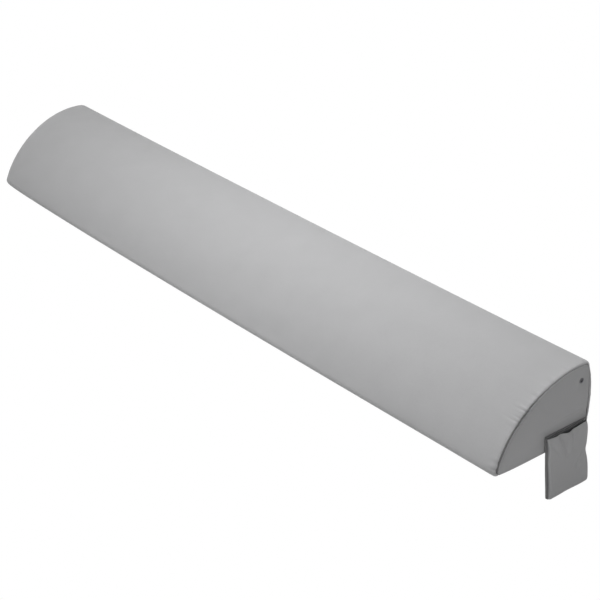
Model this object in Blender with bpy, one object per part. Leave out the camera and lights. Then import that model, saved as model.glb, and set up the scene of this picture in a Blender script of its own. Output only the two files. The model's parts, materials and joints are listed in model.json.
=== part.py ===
"""A long wedge bolster pillow with a domed front and a side pocket, as its separate pieces.

Metres, +Z up. X runs along the pillow, its back faces +Y and its low nose faces -Y. The back
stands upright and is a little full. The origin is the middle of the flat base. A foam core sits in
a liner, and the liner in a cover sewn from six panels, with a zip along the back. The pocket hangs
from the end panel at +X.
"""

from math import asin, atan2, cos, hypot, pi, radians, sin, sqrt

import bmesh
import bpy

# The filled cover, outside
LENGTH = 1.829
DEPTH = 0.254
HEIGHT = 0.165
CROWN_RADIUS = 0.248
NOSE_RADIUS = 0.012
BACK_FULLNESS = 0.009

# Cloth and thread, and the room left between two pieces
COVER = 0.0012
LINER = 0.0008
THREAD_RADIUS = 0.0005
GAP = 0.0003

# Zip along the middle of the back
TAPE = 0.0006
TAPE_WIDTH = 0.0113
COIL_WIDTH = 0.0027
COIL_THICKNESS = 0.0020
STOP_LENGTH = 0.0035
STOP_WALL = 0.0005
STOP_TO_END = 0.020
STRIP_TO_SLIDER = 0.0013
SLIDER_LENGTH = 0.013
SLIDER_WALL = 0.0010
SLIDER_POST = 0.0008
BRIDGE_LENGTH = 0.010
BRIDGE_WIDTH = 0.0020
BRIDGE_WALL = 0.0008
BRIDGE_FOOT = 0.0016
PULL_LENGTH = 0.022
PULL_WIDTH = 0.0064
PULL_THICKNESS = 0.0012
PULL_PLAY = 0.0004
PULL_HOLE_RADIUS = 0.0012

# Side pocket on the near end
POCKET_WIDTH = 0.124
POCKET_DROP = 0.141
POCKET_TOP = 0.034
POCKET_FULLNESS = 0.009
POCKET_LEAN = radians(5)
POCKET_FLANGE = 0.004
MOUTH_DROP = 0.008

# Vent eyelet in the near end
EYELET_FROM_BACK = 0.021
EYELET_FROM_TOP = 0.038
EYELET_BORE_RADIUS = 0.0026
EYELET_BARREL_RADIUS = 0.0032
EYELET_FLANGE_RADIUS = 0.0060
EYELET_DOME = 0.0010
WASHER_RADIUS = 0.0055
WASHER = 0.0006

# Blank care label on the back's lower strip
LABEL_WIDTH = 0.045
LABEL_HEIGHT = 0.022
LABEL = 0.0005
LABEL_FROM_NEAR_END = 0.36
LABEL_FROM_BASE = 0.012

# How finely the curves are cut
CROWN_STEPS = 28
NOSE_STEPS = 7
BACK_STEPS = 6
ROUND_STEPS = 32
CORNER_STEPS = 3
POCKET_STEPS = 16

# What follows from these
HALF = LENGTH / 2
BACK = DEPTH / 2
SEAM = 2 * (THREAD_RADIUS + GAP)
LINER_INSET = COVER + GAP
FOAM_INSET = LINER_INSET + LINER + GAP
PANEL_END = HALF - SEAM
CORE_END = HALF - FOAM_INSET

COIL_START = SLIDER_POST / 2 + GAP
COIL_END = COIL_START + COIL_WIDTH
TAPE_START = COIL_END + GAP
TAPE_END = TAPE_START + TAPE_WIDTH
SLIDER_CHANNEL = COIL_THICKNESS / 2 + GAP
SLIDER_FACE = SLIDER_CHANNEL + SLIDER_WALL
SLIDER_HALF_WIDTH = TAPE_START + SLIDER_WALL
STRIP_EDGE = SLIDER_HALF_WIDTH + STRIP_TO_SLIDER
STOP_CENTRE = HALF - STOP_TO_END
COIL_REACH = STOP_CENTRE - STOP_LENGTH / 2 - GAP
SLIDER_X = COIL_REACH - SLIDER_LENGTH / 2

POCKET_Y = BACK - POCKET_WIDTH / 2
POCKET_HINGE_X = HALF + THREAD_RADIUS + GAP + COVER / 8
EYELET_Y = BACK - EYELET_FROM_BACK
EYELET_Z = HEIGHT - EYELET_FROM_TOP


# Outlines across the pillow, as (y, z) points. The base is a line, and the nose, the crown and the
# back are arcs. An inset outline is that far inside the cover's outer face all round.


def arc(centre, radius, start, end, steps):
    """Points along an arc, its angles counted from +Y towards +Z."""
    turn = (end - start) / steps
    return [
        (centre[0] + radius * cos(start + turn * i), centre[1] + radius * sin(start + turn * i))
        for i in range(steps + 1)
    ]


def rounded(width, height, radius, centre=(0.0, 0.0)):
    """A rectangle with round corners."""
    points = []
    for quarter, (side, level) in enumerate(((1, 1), (-1, 1), (-1, -1), (1, -1))):
        corner = (
            centre[0] + side * (width / 2 - radius),
            centre[1] + level * (height / 2 - radius),
        )
        points += arc(corner, radius, quarter * pi / 2, (quarter + 1) * pi / 2, CORNER_STEPS)
    return points


def angle_to(centre, point):
    return atan2(point[1] - centre[1], point[0] - centre[0])


def meeting(first, first_radius, second, second_radius):
    """The upper point where two circles cross."""
    apart = hypot(second[0] - first[0], second[1] - first[1])
    along = (first_radius**2 - second_radius**2 + apart**2) / (2 * apart)
    across = sqrt(first_radius**2 - along**2)
    y = (second[0] - first[0]) / apart
    z = (second[1] - first[1]) / apart
    middle = (first[0] + along * y, first[1] + along * z)
    return max(
        ((middle[0] + way * across * z, middle[1] - way * across * y) for way in (-1, 1)),
        key=lambda point: point[1],
    )


NOSE = (-BACK + NOSE_RADIUS, NOSE_RADIUS)
# The crown's centre lets it run into the nose with no corner.
CROWN_Z = HEIGHT - CROWN_RADIUS
CROWN_OVER_NOSE = sqrt((CROWN_RADIUS - NOSE_RADIUS) ** 2 - (NOSE_RADIUS - CROWN_Z) ** 2)
CROWN = (NOSE[0] + CROWN_OVER_NOSE, CROWN_Z)
# The back's arc runs from the base's edge to the crown's edge, both above y = BACK.
BACK_HALF = (CROWN[1] + sqrt(CROWN_RADIUS**2 - (BACK - CROWN[0]) ** 2)) / 2
BACK_RADIUS = (BACK_HALF**2 + BACK_FULLNESS**2) / (2 * BACK_FULLNESS)
BACK_CENTRE = (BACK + BACK_FULLNESS - BACK_RADIUS, BACK_HALF)


def front_curve(inset, end_inset):
    """From the top of the back, down the crown and round the nose to the base."""
    top = meeting(CROWN, CROWN_RADIUS - inset, BACK_CENTRE, BACK_RADIUS - end_inset)
    join = angle_to(CROWN, NOSE)
    over = arc(CROWN, CROWN_RADIUS - inset, angle_to(CROWN, top), join, CROWN_STEPS)
    under = arc(NOSE, NOSE_RADIUS - inset, join, 1.5 * pi, NOSE_STEPS)
    return over + under[1:]


def back_angle(inset, z):
    """The angle of the point at this height on the back's arc."""
    return asin((z - BACK_CENTRE[1]) / (BACK_RADIUS - inset))


def back_curve(inset, low, high):
    """Up the back between two heights."""
    ends = back_angle(inset, low), back_angle(inset, high)
    return arc(BACK_CENTRE, BACK_RADIUS - inset, *ends, BACK_STEPS)


def back_top(inset, end_inset):
    """The height of the back's arc where it meets the crown's."""
    return meeting(CROWN, CROWN_RADIUS - end_inset, BACK_CENTRE, BACK_RADIUS - inset)[1]


def back_strip(outer, inner, low, high):
    """A strip of the back between two insets."""
    if high is None:
        outside = back_curve(outer, low, back_top(outer, SEAM))
        inside = back_curve(inner, low, back_top(inner, SEAM))
    else:
        outside = back_curve(outer, low, high)
        inside = back_curve(inner, low, high)
    return outside + inside[::-1]


# The zip lies straight behind the strips' edges, at the height where the back stands straight up.
ZIP_HEIGHT = BACK_CENTRE[1]
BEHIND_STRIPS = BACK_CENTRE[0] + sqrt((BACK_RADIUS - COVER) ** 2 - TAPE_END**2)
TAPE_Y = BEHIND_STRIPS - GAP - TAPE / 2
PULL_Y = TAPE_Y + SLIDER_FACE + PULL_PLAY + PULL_THICKNESS / 2


def section(inset, well=False):
    """The whole outline, with the hollow that the zip presses into what is behind it."""
    top = back_top(inset, inset)
    if not well:
        return back_curve(inset, inset, top)[:-1] + front_curve(inset, inset)
    deeper = inset - LINER_INSET
    floor = TAPE_Y - SLIDER_FACE - GAP - deeper
    half = TAPE_END + GAP + deeper
    below = back_curve(inset, inset, ZIP_HEIGHT - half)
    above = back_curve(inset, ZIP_HEIGHT + half, top)
    hollow = [(floor, ZIP_HEIGHT - half), (floor, ZIP_HEIGHT + half)]
    return below + hollow + above[:-1] + front_curve(inset, inset)


# Making objects


def material(name, colour, roughness, metallic=0.0):
    made = bpy.data.materials.new(name)
    made.use_nodes = True
    shader = made.node_tree.nodes["Principled BSDF"]
    shader.inputs["Base Color"].default_value = (*colour, 1.0)
    shader.inputs["Roughness"].default_value = roughness
    shader.inputs["Metallic"].default_value = metallic
    made.diffuse_color = (*colour, 1.0)
    return made


def add(name, data, finish, at=(0.0, 0.0, 0.0), parent=None):
    data.materials.append(finish)
    made = bpy.data.objects.new(name, data)
    bpy.context.scene.collection.objects.link(made)
    made.parent = parent
    made.location = at
    return made


def finish_mesh(name, shape):
    """Turns a bmesh into a mesh with its faces out, smooth but for its real edges."""
    bmesh.ops.recalc_face_normals(shape, faces=shape.faces)
    mesh = bpy.data.meshes.new(name)
    shape.to_mesh(mesh)
    shape.free()
    mesh.shade_smooth()
    mesh.set_sharp_from_angle(angle=radians(35))
    return mesh


def place(along, level, point):
    """A point of an outline as x, y, z, for an extrusion along this axis."""
    first, second = point
    return {
        "X": (level, first, second),
        "Y": (first, level, second),
        "Z": (first, second, level),
    }[along]


def prism(name, outline, low, high, finish, along="X", **where):
    """An outline extruded along X, Y or Z."""
    shape = bmesh.new()
    ends = [[shape.verts.new(place(along, level, p)) for p in outline] for level in (low, high)]
    for end in ends:
        shape.faces.new(end)
    count = len(outline)
    for i in range(count):
        j = (i + 1) % count
        shape.faces.new((ends[0][i], ends[0][j], ends[1][j], ends[1][i]))
    return add(name, finish_mesh(name, shape), finish, **where)


def sleeve(name, outer, inner, low, high, finish):
    """A tube along X between two outlines that match point for point."""
    shape = bmesh.new()
    rings = [
        [shape.verts.new((x, *point)) for point in outline]
        for outline, x in ((outer, low), (outer, high), (inner, high), (inner, low))
    ]
    count = len(outer)
    for i in range(count):
        j = (i + 1) % count
        for ring, following in zip(rings, rings[1:] + rings[:1]):
            shape.faces.new((ring[i], ring[j], following[j], following[i]))
    return add(name, finish_mesh(name, shape), finish)


def bar(name, y, z, reach, finish):
    """A strip of rectangular section along X, between two heights and two depths."""
    outline = [(y[0], z[0]), (y[1], z[0]), (y[1], z[1]), (y[0], z[1])]
    return prism(name, outline, -reach, reach, finish)


def thread(name, points, finish, closed=False, **where):
    """A seam's thread laid through these points."""
    data = bpy.data.curves.new(name, "CURVE")
    data.dimensions = "3D"
    data.bevel_depth = THREAD_RADIUS
    data.bevel_resolution = 1
    data.use_fill_caps = True
    line = data.splines.new("POLY")
    line.points.add(len(points) - 1)
    for target, point in zip(line.points, points):
        target.co = (*point, 1.0)
    line.use_cyclic_u = closed
    return add(name, data, finish, **where)


def turned(name, profile, centre, finish):
    """A ring turned about an axis along X from its (x, radius) section."""
    shape = bmesh.new()
    turns = [2 * pi * i / ROUND_STEPS for i in range(ROUND_STEPS)]
    rings = [
        [
            shape.verts.new((x, centre[0] + radius * cos(a), centre[1] + radius * sin(a)))
            for x, radius in profile
        ]
        for a in turns
    ]
    count = len(profile)
    for ring, following in zip(rings, rings[1:] + rings[:1]):
        for i in range(count):
            j = (i + 1) % count
            shape.faces.new((ring[i], ring[j], following[j], following[i]))
    return add(name, finish_mesh(name, shape), finish)


def combine(target, tool, operation):
    """Cuts a helper out of a piece, or adds it, and leaves the helper out of renders."""
    tool.hide_render = True
    tool.display_type = "WIRE"
    change = target.modifiers.new(operation.title(), "BOOLEAN")
    change.operation = operation
    change.object = tool


def drill(target, centre, radius, low, high, finish, along="X"):
    name = target.name + "_hole"
    hole = arc(centre, radius, 0.0, 2 * pi, ROUND_STEPS)[:-1]
    tool = prism(name, hole, low, high, finish, along=along, parent=target)
    combine(target, tool, "DIFFERENCE")


def soften(piece, width):
    edge = piece.modifiers.new("Bevel", "BEVEL")
    edge.width = width
    edge.segments = 2
    edge.limit_method = "ANGLE"


# The pieces


def make_core(foam, lining):
    prism("foam_core", section(FOAM_INSET, well=True), -CORE_END, CORE_END, foam)
    sleeve(
        "liner_sleeve",
        section(LINER_INSET, well=True),
        section(LINER_INSET + LINER, well=True),
        -CORE_END,
        CORE_END,
        lining,
    )
    inner, outer = HALF - LINER_INSET - LINER, HALF - LINER_INSET
    outline = section(LINER_INSET, well=True)
    near = prism("liner_end_near", outline, inner, outer, lining)
    prism("liner_end_far", outline, -outer, -inner, lining)
    room = WASHER_RADIUS + GAP
    drill(near, (EYELET_Y, EYELET_Z), room, inner - GAP, outer + GAP, lining)


def make_cover(cloth):
    crown = front_curve(0.0, SEAM) + front_curve(COVER, SEAM)[::-1]
    prism("crown_panel", crown, -PANEL_END, PANEL_END, cloth)
    bar("base_panel", (NOSE[0] + SEAM, BACK - SEAM), (0.0, COVER), PANEL_END, cloth)
    upper = back_strip(0.0, COVER, ZIP_HEIGHT + STRIP_EDGE, None)
    prism("back_panel_upper", upper, -PANEL_END, PANEL_END, cloth)
    lower = back_strip(0.0, COVER, SEAM, ZIP_HEIGHT - STRIP_EDGE)
    prism("back_panel_lower", lower, -PANEL_END, PANEL_END, cloth)
    near = prism("end_panel_near", section(SEAM), HALF - COVER, HALF, cloth)
    prism("end_panel_far", section(SEAM), -HALF, COVER - HALF, cloth)
    room = EYELET_BARREL_RADIUS + GAP
    drill(near, (EYELET_Y, EYELET_Z), room, HALF - COVER - GAP, HALF + GAP, cloth)


def make_seams(sewing):
    half = SEAM / 2
    edges = {
        "front_seam": (NOSE[0] + half, half),
        "top_seam": front_curve(half, half)[0],
        "heel_seam": section(half)[0],
    }
    for name, (y, z) in edges.items():
        thread(name, [(-PANEL_END, y, z), (PANEL_END, y, z)], sewing)
    for name, x in (("end_seam_near", HALF - half), ("end_seam_far", half - HALF)):
        thread(name, [(x, y, z) for y, z in section(half)], sewing, closed=True)


def make_zip(webbing, coil, metal):
    for name, side in (("upper", 1), ("lower", -1)):
        edges = sorted(ZIP_HEIGHT + side * reach for reach in (TAPE_START, TAPE_END))
        bar("zip_tape_" + name, (TAPE_Y - TAPE / 2, TAPE_Y + TAPE / 2), edges, PANEL_END, webbing)
        middle = (TAPE_Y, ZIP_HEIGHT + side * (COIL_START + COIL_END) / 2)
        teeth = rounded(COIL_THICKNESS, COIL_WIDTH, COIL_THICKNESS / 3, middle)
        prism("zip_coil_" + name, teeth, -COIL_REACH, COIL_REACH, coil)
        clip = rounded(COIL_THICKNESS, COIL_WIDTH, STOP_WALL, middle)
        stop = (STOP_CENTRE - STOP_LENGTH / 2, STOP_CENTRE + STOP_LENGTH / 2)
        prism("zip_top_stop_" + name, clip, *stop, metal)
    both = rounded(COIL_THICKNESS, 2 * COIL_END, STOP_WALL, (TAPE_Y, ZIP_HEIGHT))
    prism("zip_bottom_stop", both, -stop[1], -stop[0], metal)


def slider_section():
    """The slider's two plates, the post between them and the lips that hold the coils."""
    half, lip = SLIDER_HALF_WIDTH, TAPE / 2 + GAP
    side = [
        (SLIDER_FACE, half),
        (lip, half),
        (lip, TAPE_START),
        (SLIDER_CHANNEL, TAPE_START),
        (SLIDER_CHANNEL, SLIDER_POST / 2),
    ]
    quarter_turned = [(-y, z) for y, z in side[::-1]]
    upper = side + quarter_turned
    return upper + [(-y, -z) for y, z in upper]


def make_slider(metal):
    reach = SLIDER_LENGTH / 2
    at = (SLIDER_X, TAPE_Y, ZIP_HEIGHT)
    slider = prism("zip_slider", slider_section(), -reach, reach, metal, at=at)
    half, foot = BRIDGE_LENGTH / 2, BRIDGE_LENGTH / 2 - BRIDGE_FOOT
    base = SLIDER_FACE - SLIDER_WALL / 2
    under = SLIDER_FACE + 2 * PULL_PLAY + PULL_THICKNESS
    top = under + BRIDGE_WALL
    bridge = [
        (-half, base),
        (-half, under),
        (-half + BRIDGE_WALL, top),
        (half - BRIDGE_WALL, top),
        (half, under),
        (half, base),
        (foot, base),
        (foot, under),
        (-foot, under),
        (-foot, base),
    ]
    wide = BRIDGE_WIDTH / 2
    tool = prism("zip_slider_bridge", bridge, -wide, wide, metal, along="Z", parent=slider)
    combine(slider, tool, "UNION")
    return slider


def make_pull(slider, metal):
    """A tab that turns on its own end bar, which the slider's bridge holds down."""
    thin = PULL_THICKNESS / 2
    middle = (thin - PULL_LENGTH / 2, 0.0)
    tab = rounded(PULL_LENGTH, PULL_WIDTH, PULL_WIDTH / 4, middle)
    at = (0.0, PULL_Y - TAPE_Y, 0.0)
    pull = prism("zip_pull", tab, -thin, thin, metal, along="Y", at=at, parent=slider)
    inner, outer = -thin, -(BRIDGE_LENGTH / 2 + 2 * GAP + SLIDER_WALL)
    window = rounded(inner - outer, BRIDGE_WIDTH + 2 * GAP, GAP, ((inner + outer) / 2, 0.0))
    tool = prism("zip_pull_window", window, -thin - GAP, thin + GAP, metal, along="Y", parent=pull)
    combine(pull, tool, "DIFFERENCE")
    eye = (PULL_WIDTH / 2 - PULL_LENGTH, 0.0)
    drill(pull, eye, PULL_HOLE_RADIUS, -thin - GAP, thin + GAP, metal, along="Y")


def make_pocket(cloth, sewing):
    """Built about its hinge, with x out from the pillow and z down the pocket as negative."""
    hinge = bpy.data.objects.new("pocket_hinge", None)
    bpy.context.scene.collection.objects.link(hinge)
    hinge.location = (POCKET_HINGE_X, POCKET_Y, POCKET_TOP)
    hinge.rotation_euler = (0.0, -POCKET_LEAN, 0.0)
    side = POCKET_WIDTH / 2
    ends = [(POCKET_HINGE_X, POCKET_Y + way * side, POCKET_TOP) for way in (-1, 1)]
    thread("pocket_top_seam", ends, sewing)

    skin = COVER / 2
    clear = THREAD_RADIUS + GAP
    corner = POCKET_FLANGE / 2
    length = POCKET_DROP - clear
    sheet = rounded(POCKET_WIDTH, length, corner, (0.0, -clear - length / 2))
    prism("pocket_back", sheet, -skin, skin, cloth, parent=hinge)

    # The front stands inside the back's edge, with the edge seam beside it.
    front_side = side - SEAM
    front_foot = POCKET_DROP - SEAM
    lift = skin + GAP
    make_pocket_front(front_side, front_foot, lift, cloth, hinge)
    line = [(-front_side - clear, -MOUTH_DROP)]
    line += [(-y, z) for y, z in arc((front_side, -front_foot), clear, 0, -pi / 2, CORNER_STEPS)]
    line += arc((front_side, -front_foot), clear, -pi / 2, 0, CORNER_STEPS)
    line += [(front_side + clear, -MOUTH_DROP)]
    route = [(lift + THREAD_RADIUS, y, z) for y, z in line]
    thread("pocket_edge_seam", route, sewing, parent=hinge)


def make_pocket_front(side, foot, lift, cloth, hinge):
    """The full front: flat where it is sewn, and standing off the back between."""
    bulge_side = side - POCKET_FLANGE
    bulge_foot = foot - POCKET_FLANGE
    spread = [-cos(pi * i / POCKET_STEPS) * bulge_side for i in range(POCKET_STEPS + 1)]
    across = [-side, *spread, side]
    drop = bulge_foot - MOUTH_DROP
    down = [MOUTH_DROP + drop * sin(pi / 2 * i / POCKET_STEPS) for i in range(POCKET_STEPS + 1)]
    down.append(foot)
    shape = bmesh.new()
    rows = []
    for v in down:
        fall = 1 - min(1.0, (v - MOUTH_DROP) / drop) ** 5
        row = []
        for u in across:
            full = 1 - min(1.0, abs(u) / bulge_side) ** 5
            row.append(shape.verts.new((lift + POCKET_FULLNESS * full * fall, u, -v)))
        rows.append(row)
    for row, following in zip(rows, rows[1:]):
        for i in range(len(row) - 1):
            shape.faces.new((row[i], following[i], following[i + 1], row[i + 1]))
    front = add("pocket_front", finish_mesh("pocket_front", shape), cloth, parent=hinge)
    wall = front.modifiers.new("Solidify", "SOLIDIFY")
    wall.thickness = COVER
    wall.offset = 1.0
    wall.use_even_offset = True


def make_eyelet(metal):
    centre = (EYELET_Y, EYELET_Z)
    face = HALF + GAP
    inner_end = HALF - COVER - GAP - WASHER - GAP / 2
    bore, barrel, flange = EYELET_BORE_RADIUS, EYELET_BARREL_RADIUS, EYELET_FLANGE_RADIUS
    dome = [
        (face + EYELET_DOME * sin(pi * i / 6), bore + (flange - bore) * (1 - cos(pi * i / 6)) / 2)
        for i in range(1, 6)
    ]
    profile = [(inner_end, bore), (face, bore), *dome]
    profile += [(face, flange), (face, barrel), (inner_end, barrel)]
    turned("vent_eyelet", profile, centre, metal)
    room = barrel + GAP
    low = HALF - COVER - GAP - WASHER
    high = HALF - COVER - GAP
    ring = [(low, room), (high, room), (high, WASHER_RADIUS), (low, WASHER_RADIUS)]
    turned("vent_washer", ring, centre, metal)


def make_label(tape):
    patch = back_strip(-GAP - LABEL, -GAP, LABEL_FROM_BASE, LABEL_FROM_BASE + LABEL_HEIGHT)
    low = HALF - LABEL_FROM_NEAR_END
    prism("care_label", patch, low, low + LABEL_WIDTH, tape)


def main():
    for old in list(bpy.data.objects):
        bpy.data.objects.remove(old)
    cloth = material("grey_knit", (0.42, 0.42, 0.43), 0.85)
    foam = material("cream_foam", (0.86, 0.83, 0.72), 0.95)
    lining = material("white_lining", (0.82, 0.82, 0.80), 0.9)
    sewing = material("grey_thread", (0.20, 0.20, 0.21), 0.8)
    webbing = material("grey_zip_tape", (0.26, 0.26, 0.27), 0.85)
    coil = material("grey_zip_coil", (0.18, 0.18, 0.19), 0.45)
    metal = material("gunmetal", (0.16, 0.16, 0.17), 0.35, metallic=1.0)
    tape = material("white_label_tape", (0.85, 0.85, 0.84), 0.6)
    make_core(foam, lining)
    make_cover(cloth)
    make_seams(sewing)
    make_zip(webbing, coil, metal)
    slider = make_slider(metal)
    make_pull(slider, metal)
    make_pocket(cloth, sewing)
    make_eyelet(metal)
    make_label(tape)


main()
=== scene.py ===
"""Dresses the wedge bolster pillow: its cloth, seams, zip, pocket, eyelet, label and filling.

Metres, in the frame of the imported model: X along the pillow, +Y out of its back, +Z up.
"""

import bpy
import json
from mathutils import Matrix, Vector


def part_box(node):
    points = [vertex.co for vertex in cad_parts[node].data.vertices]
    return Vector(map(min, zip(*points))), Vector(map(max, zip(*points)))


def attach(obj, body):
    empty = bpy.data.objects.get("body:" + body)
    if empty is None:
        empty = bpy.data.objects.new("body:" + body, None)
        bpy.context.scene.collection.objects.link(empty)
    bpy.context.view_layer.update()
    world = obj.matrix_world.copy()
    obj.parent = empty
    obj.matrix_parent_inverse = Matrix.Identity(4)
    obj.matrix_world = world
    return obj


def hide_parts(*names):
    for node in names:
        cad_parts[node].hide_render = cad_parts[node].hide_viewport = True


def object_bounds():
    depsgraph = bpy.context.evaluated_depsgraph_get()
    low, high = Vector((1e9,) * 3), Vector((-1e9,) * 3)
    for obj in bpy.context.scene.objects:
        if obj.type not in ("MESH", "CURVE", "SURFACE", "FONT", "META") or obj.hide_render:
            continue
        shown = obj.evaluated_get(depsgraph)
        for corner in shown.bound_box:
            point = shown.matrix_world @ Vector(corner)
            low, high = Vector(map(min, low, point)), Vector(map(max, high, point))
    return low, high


bl_info = {
    "name": "Bolster Pillow Dressing",
    "version": (1, 0, 0),
    "blender": (4, 5, 0),
    "location": "3D View > Sidebar > Bolster",
    "description": "Dresses a wedge bolster pillow in knit cloth, with its seams, zip, pocket and label",
    "category": "Object",
}

import json
from math import asin, atan2, cos, pi, radians, sin, sqrt

import bmesh
import bpy
import numpy as np
from bpy.props import (
    FloatProperty,
    FloatVectorProperty,
    IntProperty,
    PointerProperty,
)
from mathutils import Matrix, Vector

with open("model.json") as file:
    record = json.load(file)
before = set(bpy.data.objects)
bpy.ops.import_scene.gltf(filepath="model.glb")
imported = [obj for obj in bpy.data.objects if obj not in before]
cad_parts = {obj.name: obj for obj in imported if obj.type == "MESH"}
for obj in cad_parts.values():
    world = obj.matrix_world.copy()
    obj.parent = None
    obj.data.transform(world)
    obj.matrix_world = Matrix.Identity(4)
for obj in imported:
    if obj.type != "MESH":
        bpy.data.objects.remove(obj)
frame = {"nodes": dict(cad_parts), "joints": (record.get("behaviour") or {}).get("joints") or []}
CAD_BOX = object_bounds()

FOAM_INSET = 0.0075
LINER_INSET = 0.0055
LINER_THICKNESS = 0.0008
LABEL_THICKNESS = 0.0003
EYELET_HOLE = 0.0034
ZIP_END_ROOM = 0.012


# The outline across the pillow


def box_middle(node):
    low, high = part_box(node)
    return (low + high) / 2


def unit(vectors):
    return vectors / np.linalg.norm(vectors, axis=-1)[..., None]


class Outline:
    """The filled cover's outline, walked once round by distance: from the top seam down the crown and
    round the nose, back along the base, and up the back. It gives points and outward normals."""

    STEP = 0.0005

    def __init__(self, crown_radius, corner):
        base_low, base_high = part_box("base_panel")
        self.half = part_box("end_panel_near")[1].x
        seam = self.half - base_high.x
        self.back = base_high.y + seam
        self.nose = base_low.y - seam
        self.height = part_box("crown_panel")[1].z
        nose_radius = self.nose + self.back
        crown_z = self.height - crown_radius
        over = sqrt((crown_radius - nose_radius) ** 2 - (nose_radius - crown_z) ** 2)
        crown = (self.nose + over, crown_z)
        top = crown_z + sqrt(crown_radius**2 - (self.back - crown[0]) ** 2)
        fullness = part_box("back_panel_upper")[1].y - self.back
        back_radius = (top**2 / 4 + fullness**2) / (2 * fullness)
        back_centre = (self.back + fullness - back_radius, top / 2)
        reach = asin(top / 2 / back_radius)
        join = atan2(nose_radius - crown_z, self.nose - crown[0])
        start = atan2(top - crown_z, self.back - crown[0])
        runs = [
            self.arc(crown, crown_radius, start, join),
            self.arc((self.nose, nose_radius), nose_radius, join, 1.5 * pi),
            self.line((self.nose, 0.0), (self.back, 0.0)),
            self.arc(back_centre, back_radius, -reach, reach),
        ]
        lengths = [len(run) for run in runs]
        self.walk(np.concatenate(runs), corner)
        self.front = self.mark(lengths[0] + lengths[1])
        self.heel = self.mark(sum(lengths[:3]))
        zip_middle = box_middle("zip_slider")
        up_back = self.distance > self.heel
        gap = np.where(up_back, abs(self.places[:, 1] - zip_middle.z), 1.0)
        self.zip = self.distance[gap.argmin()]

    def arc(self, centre, radius, start, end):
        """Points on an arc from one angle to another, without the last one."""
        count = round(abs(end - start) * radius / self.STEP)
        angles = start + (end - start) * np.arange(count) / count
        return np.array(centre) + radius * np.stack([np.cos(angles), np.sin(angles)], 1)

    def line(self, start, end):
        """Points on a straight stretch, without the last one."""
        start, end = np.array(start), np.array(end)
        count = round(float(np.linalg.norm(end - start)) / self.STEP)
        return start + (end - start) * (np.arange(count) / count)[:, None]

    def walk(self, points, corner):
        """Rounds the corners by a moving average along the outline, and measures it."""
        spread = corner / self.STEP
        turns = np.fft.fftfreq(len(points))
        kept = np.exp(-2 * (pi * turns * spread) ** 2)[:, None]
        self.places = np.fft.ifft(np.fft.fft(points, axis=0) * kept, axis=0).real
        steps = np.linalg.norm(np.roll(self.places, -1, 0) - self.places, axis=1)
        self.distance = np.concatenate([[0.0], np.cumsum(steps)[:-1]])
        self.length = float(steps.sum())
        ahead = unit(np.roll(self.places, -1, 0) - np.roll(self.places, 1, 0))
        self.normals = np.stack([ahead[:, 1], -ahead[:, 0]], 1)

    def mark(self, index):
        """The distance round the outline of one of its points."""
        return self.distance[index % len(self.distance)]

    def at(self, s):
        """Points and normals, as (y, z), at distances round the outline."""
        found = []
        for table in (self.places, self.normals):
            columns = [
                np.interp(s, self.distance, table[:, k], period=self.length) for k in (0, 1)
            ]
            found.append(np.stack(columns, -1))
        return found

    def to_seam(self, s):
        """How far a place is from the nearest of the three long seams."""
        seams = np.array([0.0, self.front, self.heel, self.length])
        return abs(np.asarray(s)[..., None] - seams).min(-1)


# Even and uneven spacing, and smooth noise

# Brings a smoothed table of random values to about unit height.
NOISE_HEIGHT = 1.8


def graded(start, end, fine, coarse, growth, ends="both"):
    """Places from start to end, close together at one or both ends and wider in between."""
    places, at = [0.0], 0.0
    length = end - start
    while at < length:
        near = {"both": min(at, length - at), "start": at, "end": length - at}[ends]
        at += min(coarse, fine + growth * max(near, 0.0))
        places.append(at)
    return start + np.array(places) * (length / at)


def spline_weights(places, count, closed=False):
    """Weights of a cubic B-spline's values, one row for each place counted in table steps."""
    places = np.asarray(places, float)
    first = np.floor(places).astype(int)
    t = places - first
    parts = [(1 - t) ** 3, 3 * t**3 - 6 * t**2 + 4, -3 * t**3 + 3 * t**2 + 3 * t + 1, t**3]
    weights = np.zeros((len(places), count))
    rows = np.arange(len(places))
    for k, part in enumerate(parts):
        columns = first + k - 1
        columns = columns % count if closed else np.clip(columns, 0, count - 1)
        np.add.at(weights, (rows, columns), part / 6)
    return weights


def lumps(x, s, table, cell):
    """Smooth noise of about unit height, the same wherever it is asked for, closed round s."""
    rows, columns = table.shape
    by_x = spline_weights(np.asarray(x) / cell + rows / 2, rows)
    by_s = spline_weights(np.asarray(s) * columns, columns, closed=True)
    return NOISE_HEIGHT * by_x @ table @ by_s.T


def uneven(x, s, cell, seed):
    """Smooth noise of about unit height over a cloth, from random values one cell apart."""
    rng = np.random.default_rng(seed)
    spans = [max(4, int(np.ptp(v) / cell) + 3) for v in (x, s)]
    table = rng.normal(size=spans)
    by_x = spline_weights((x - x.min()) / cell + 1, spans[0])
    by_s = spline_weights((s - s.min()) / cell + 1, spans[1])
    return NOISE_HEIGHT * by_x @ table @ by_s.T


# Meshes


def grid_faces(rows, columns, closed=False):
    """Quads over rows of points, whose columns may close into a ring."""
    wide = columns if closed else columns - 1
    i, j = np.meshgrid(np.arange(rows - 1), np.arange(wide), indexing="ij")
    after = (j + 1) % columns
    quads = [i * columns + j, i * columns + after, (i + 1) * columns + after, (i + 1) * columns + j]
    return np.stack([q.ravel() for q in quads], 1)


def disc_faces(rows, columns, side):
    """Rings of quads that close on one last point, and that face out of the end on this side."""
    last, middle = (rows - 1) * columns, rows * columns
    faces = grid_faces(rows, columns, closed=True).tolist()
    faces += [[last + j, last + (j + 1) % columns, middle] for j in range(columns)]
    return [face[::side] for face in faces]


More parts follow.
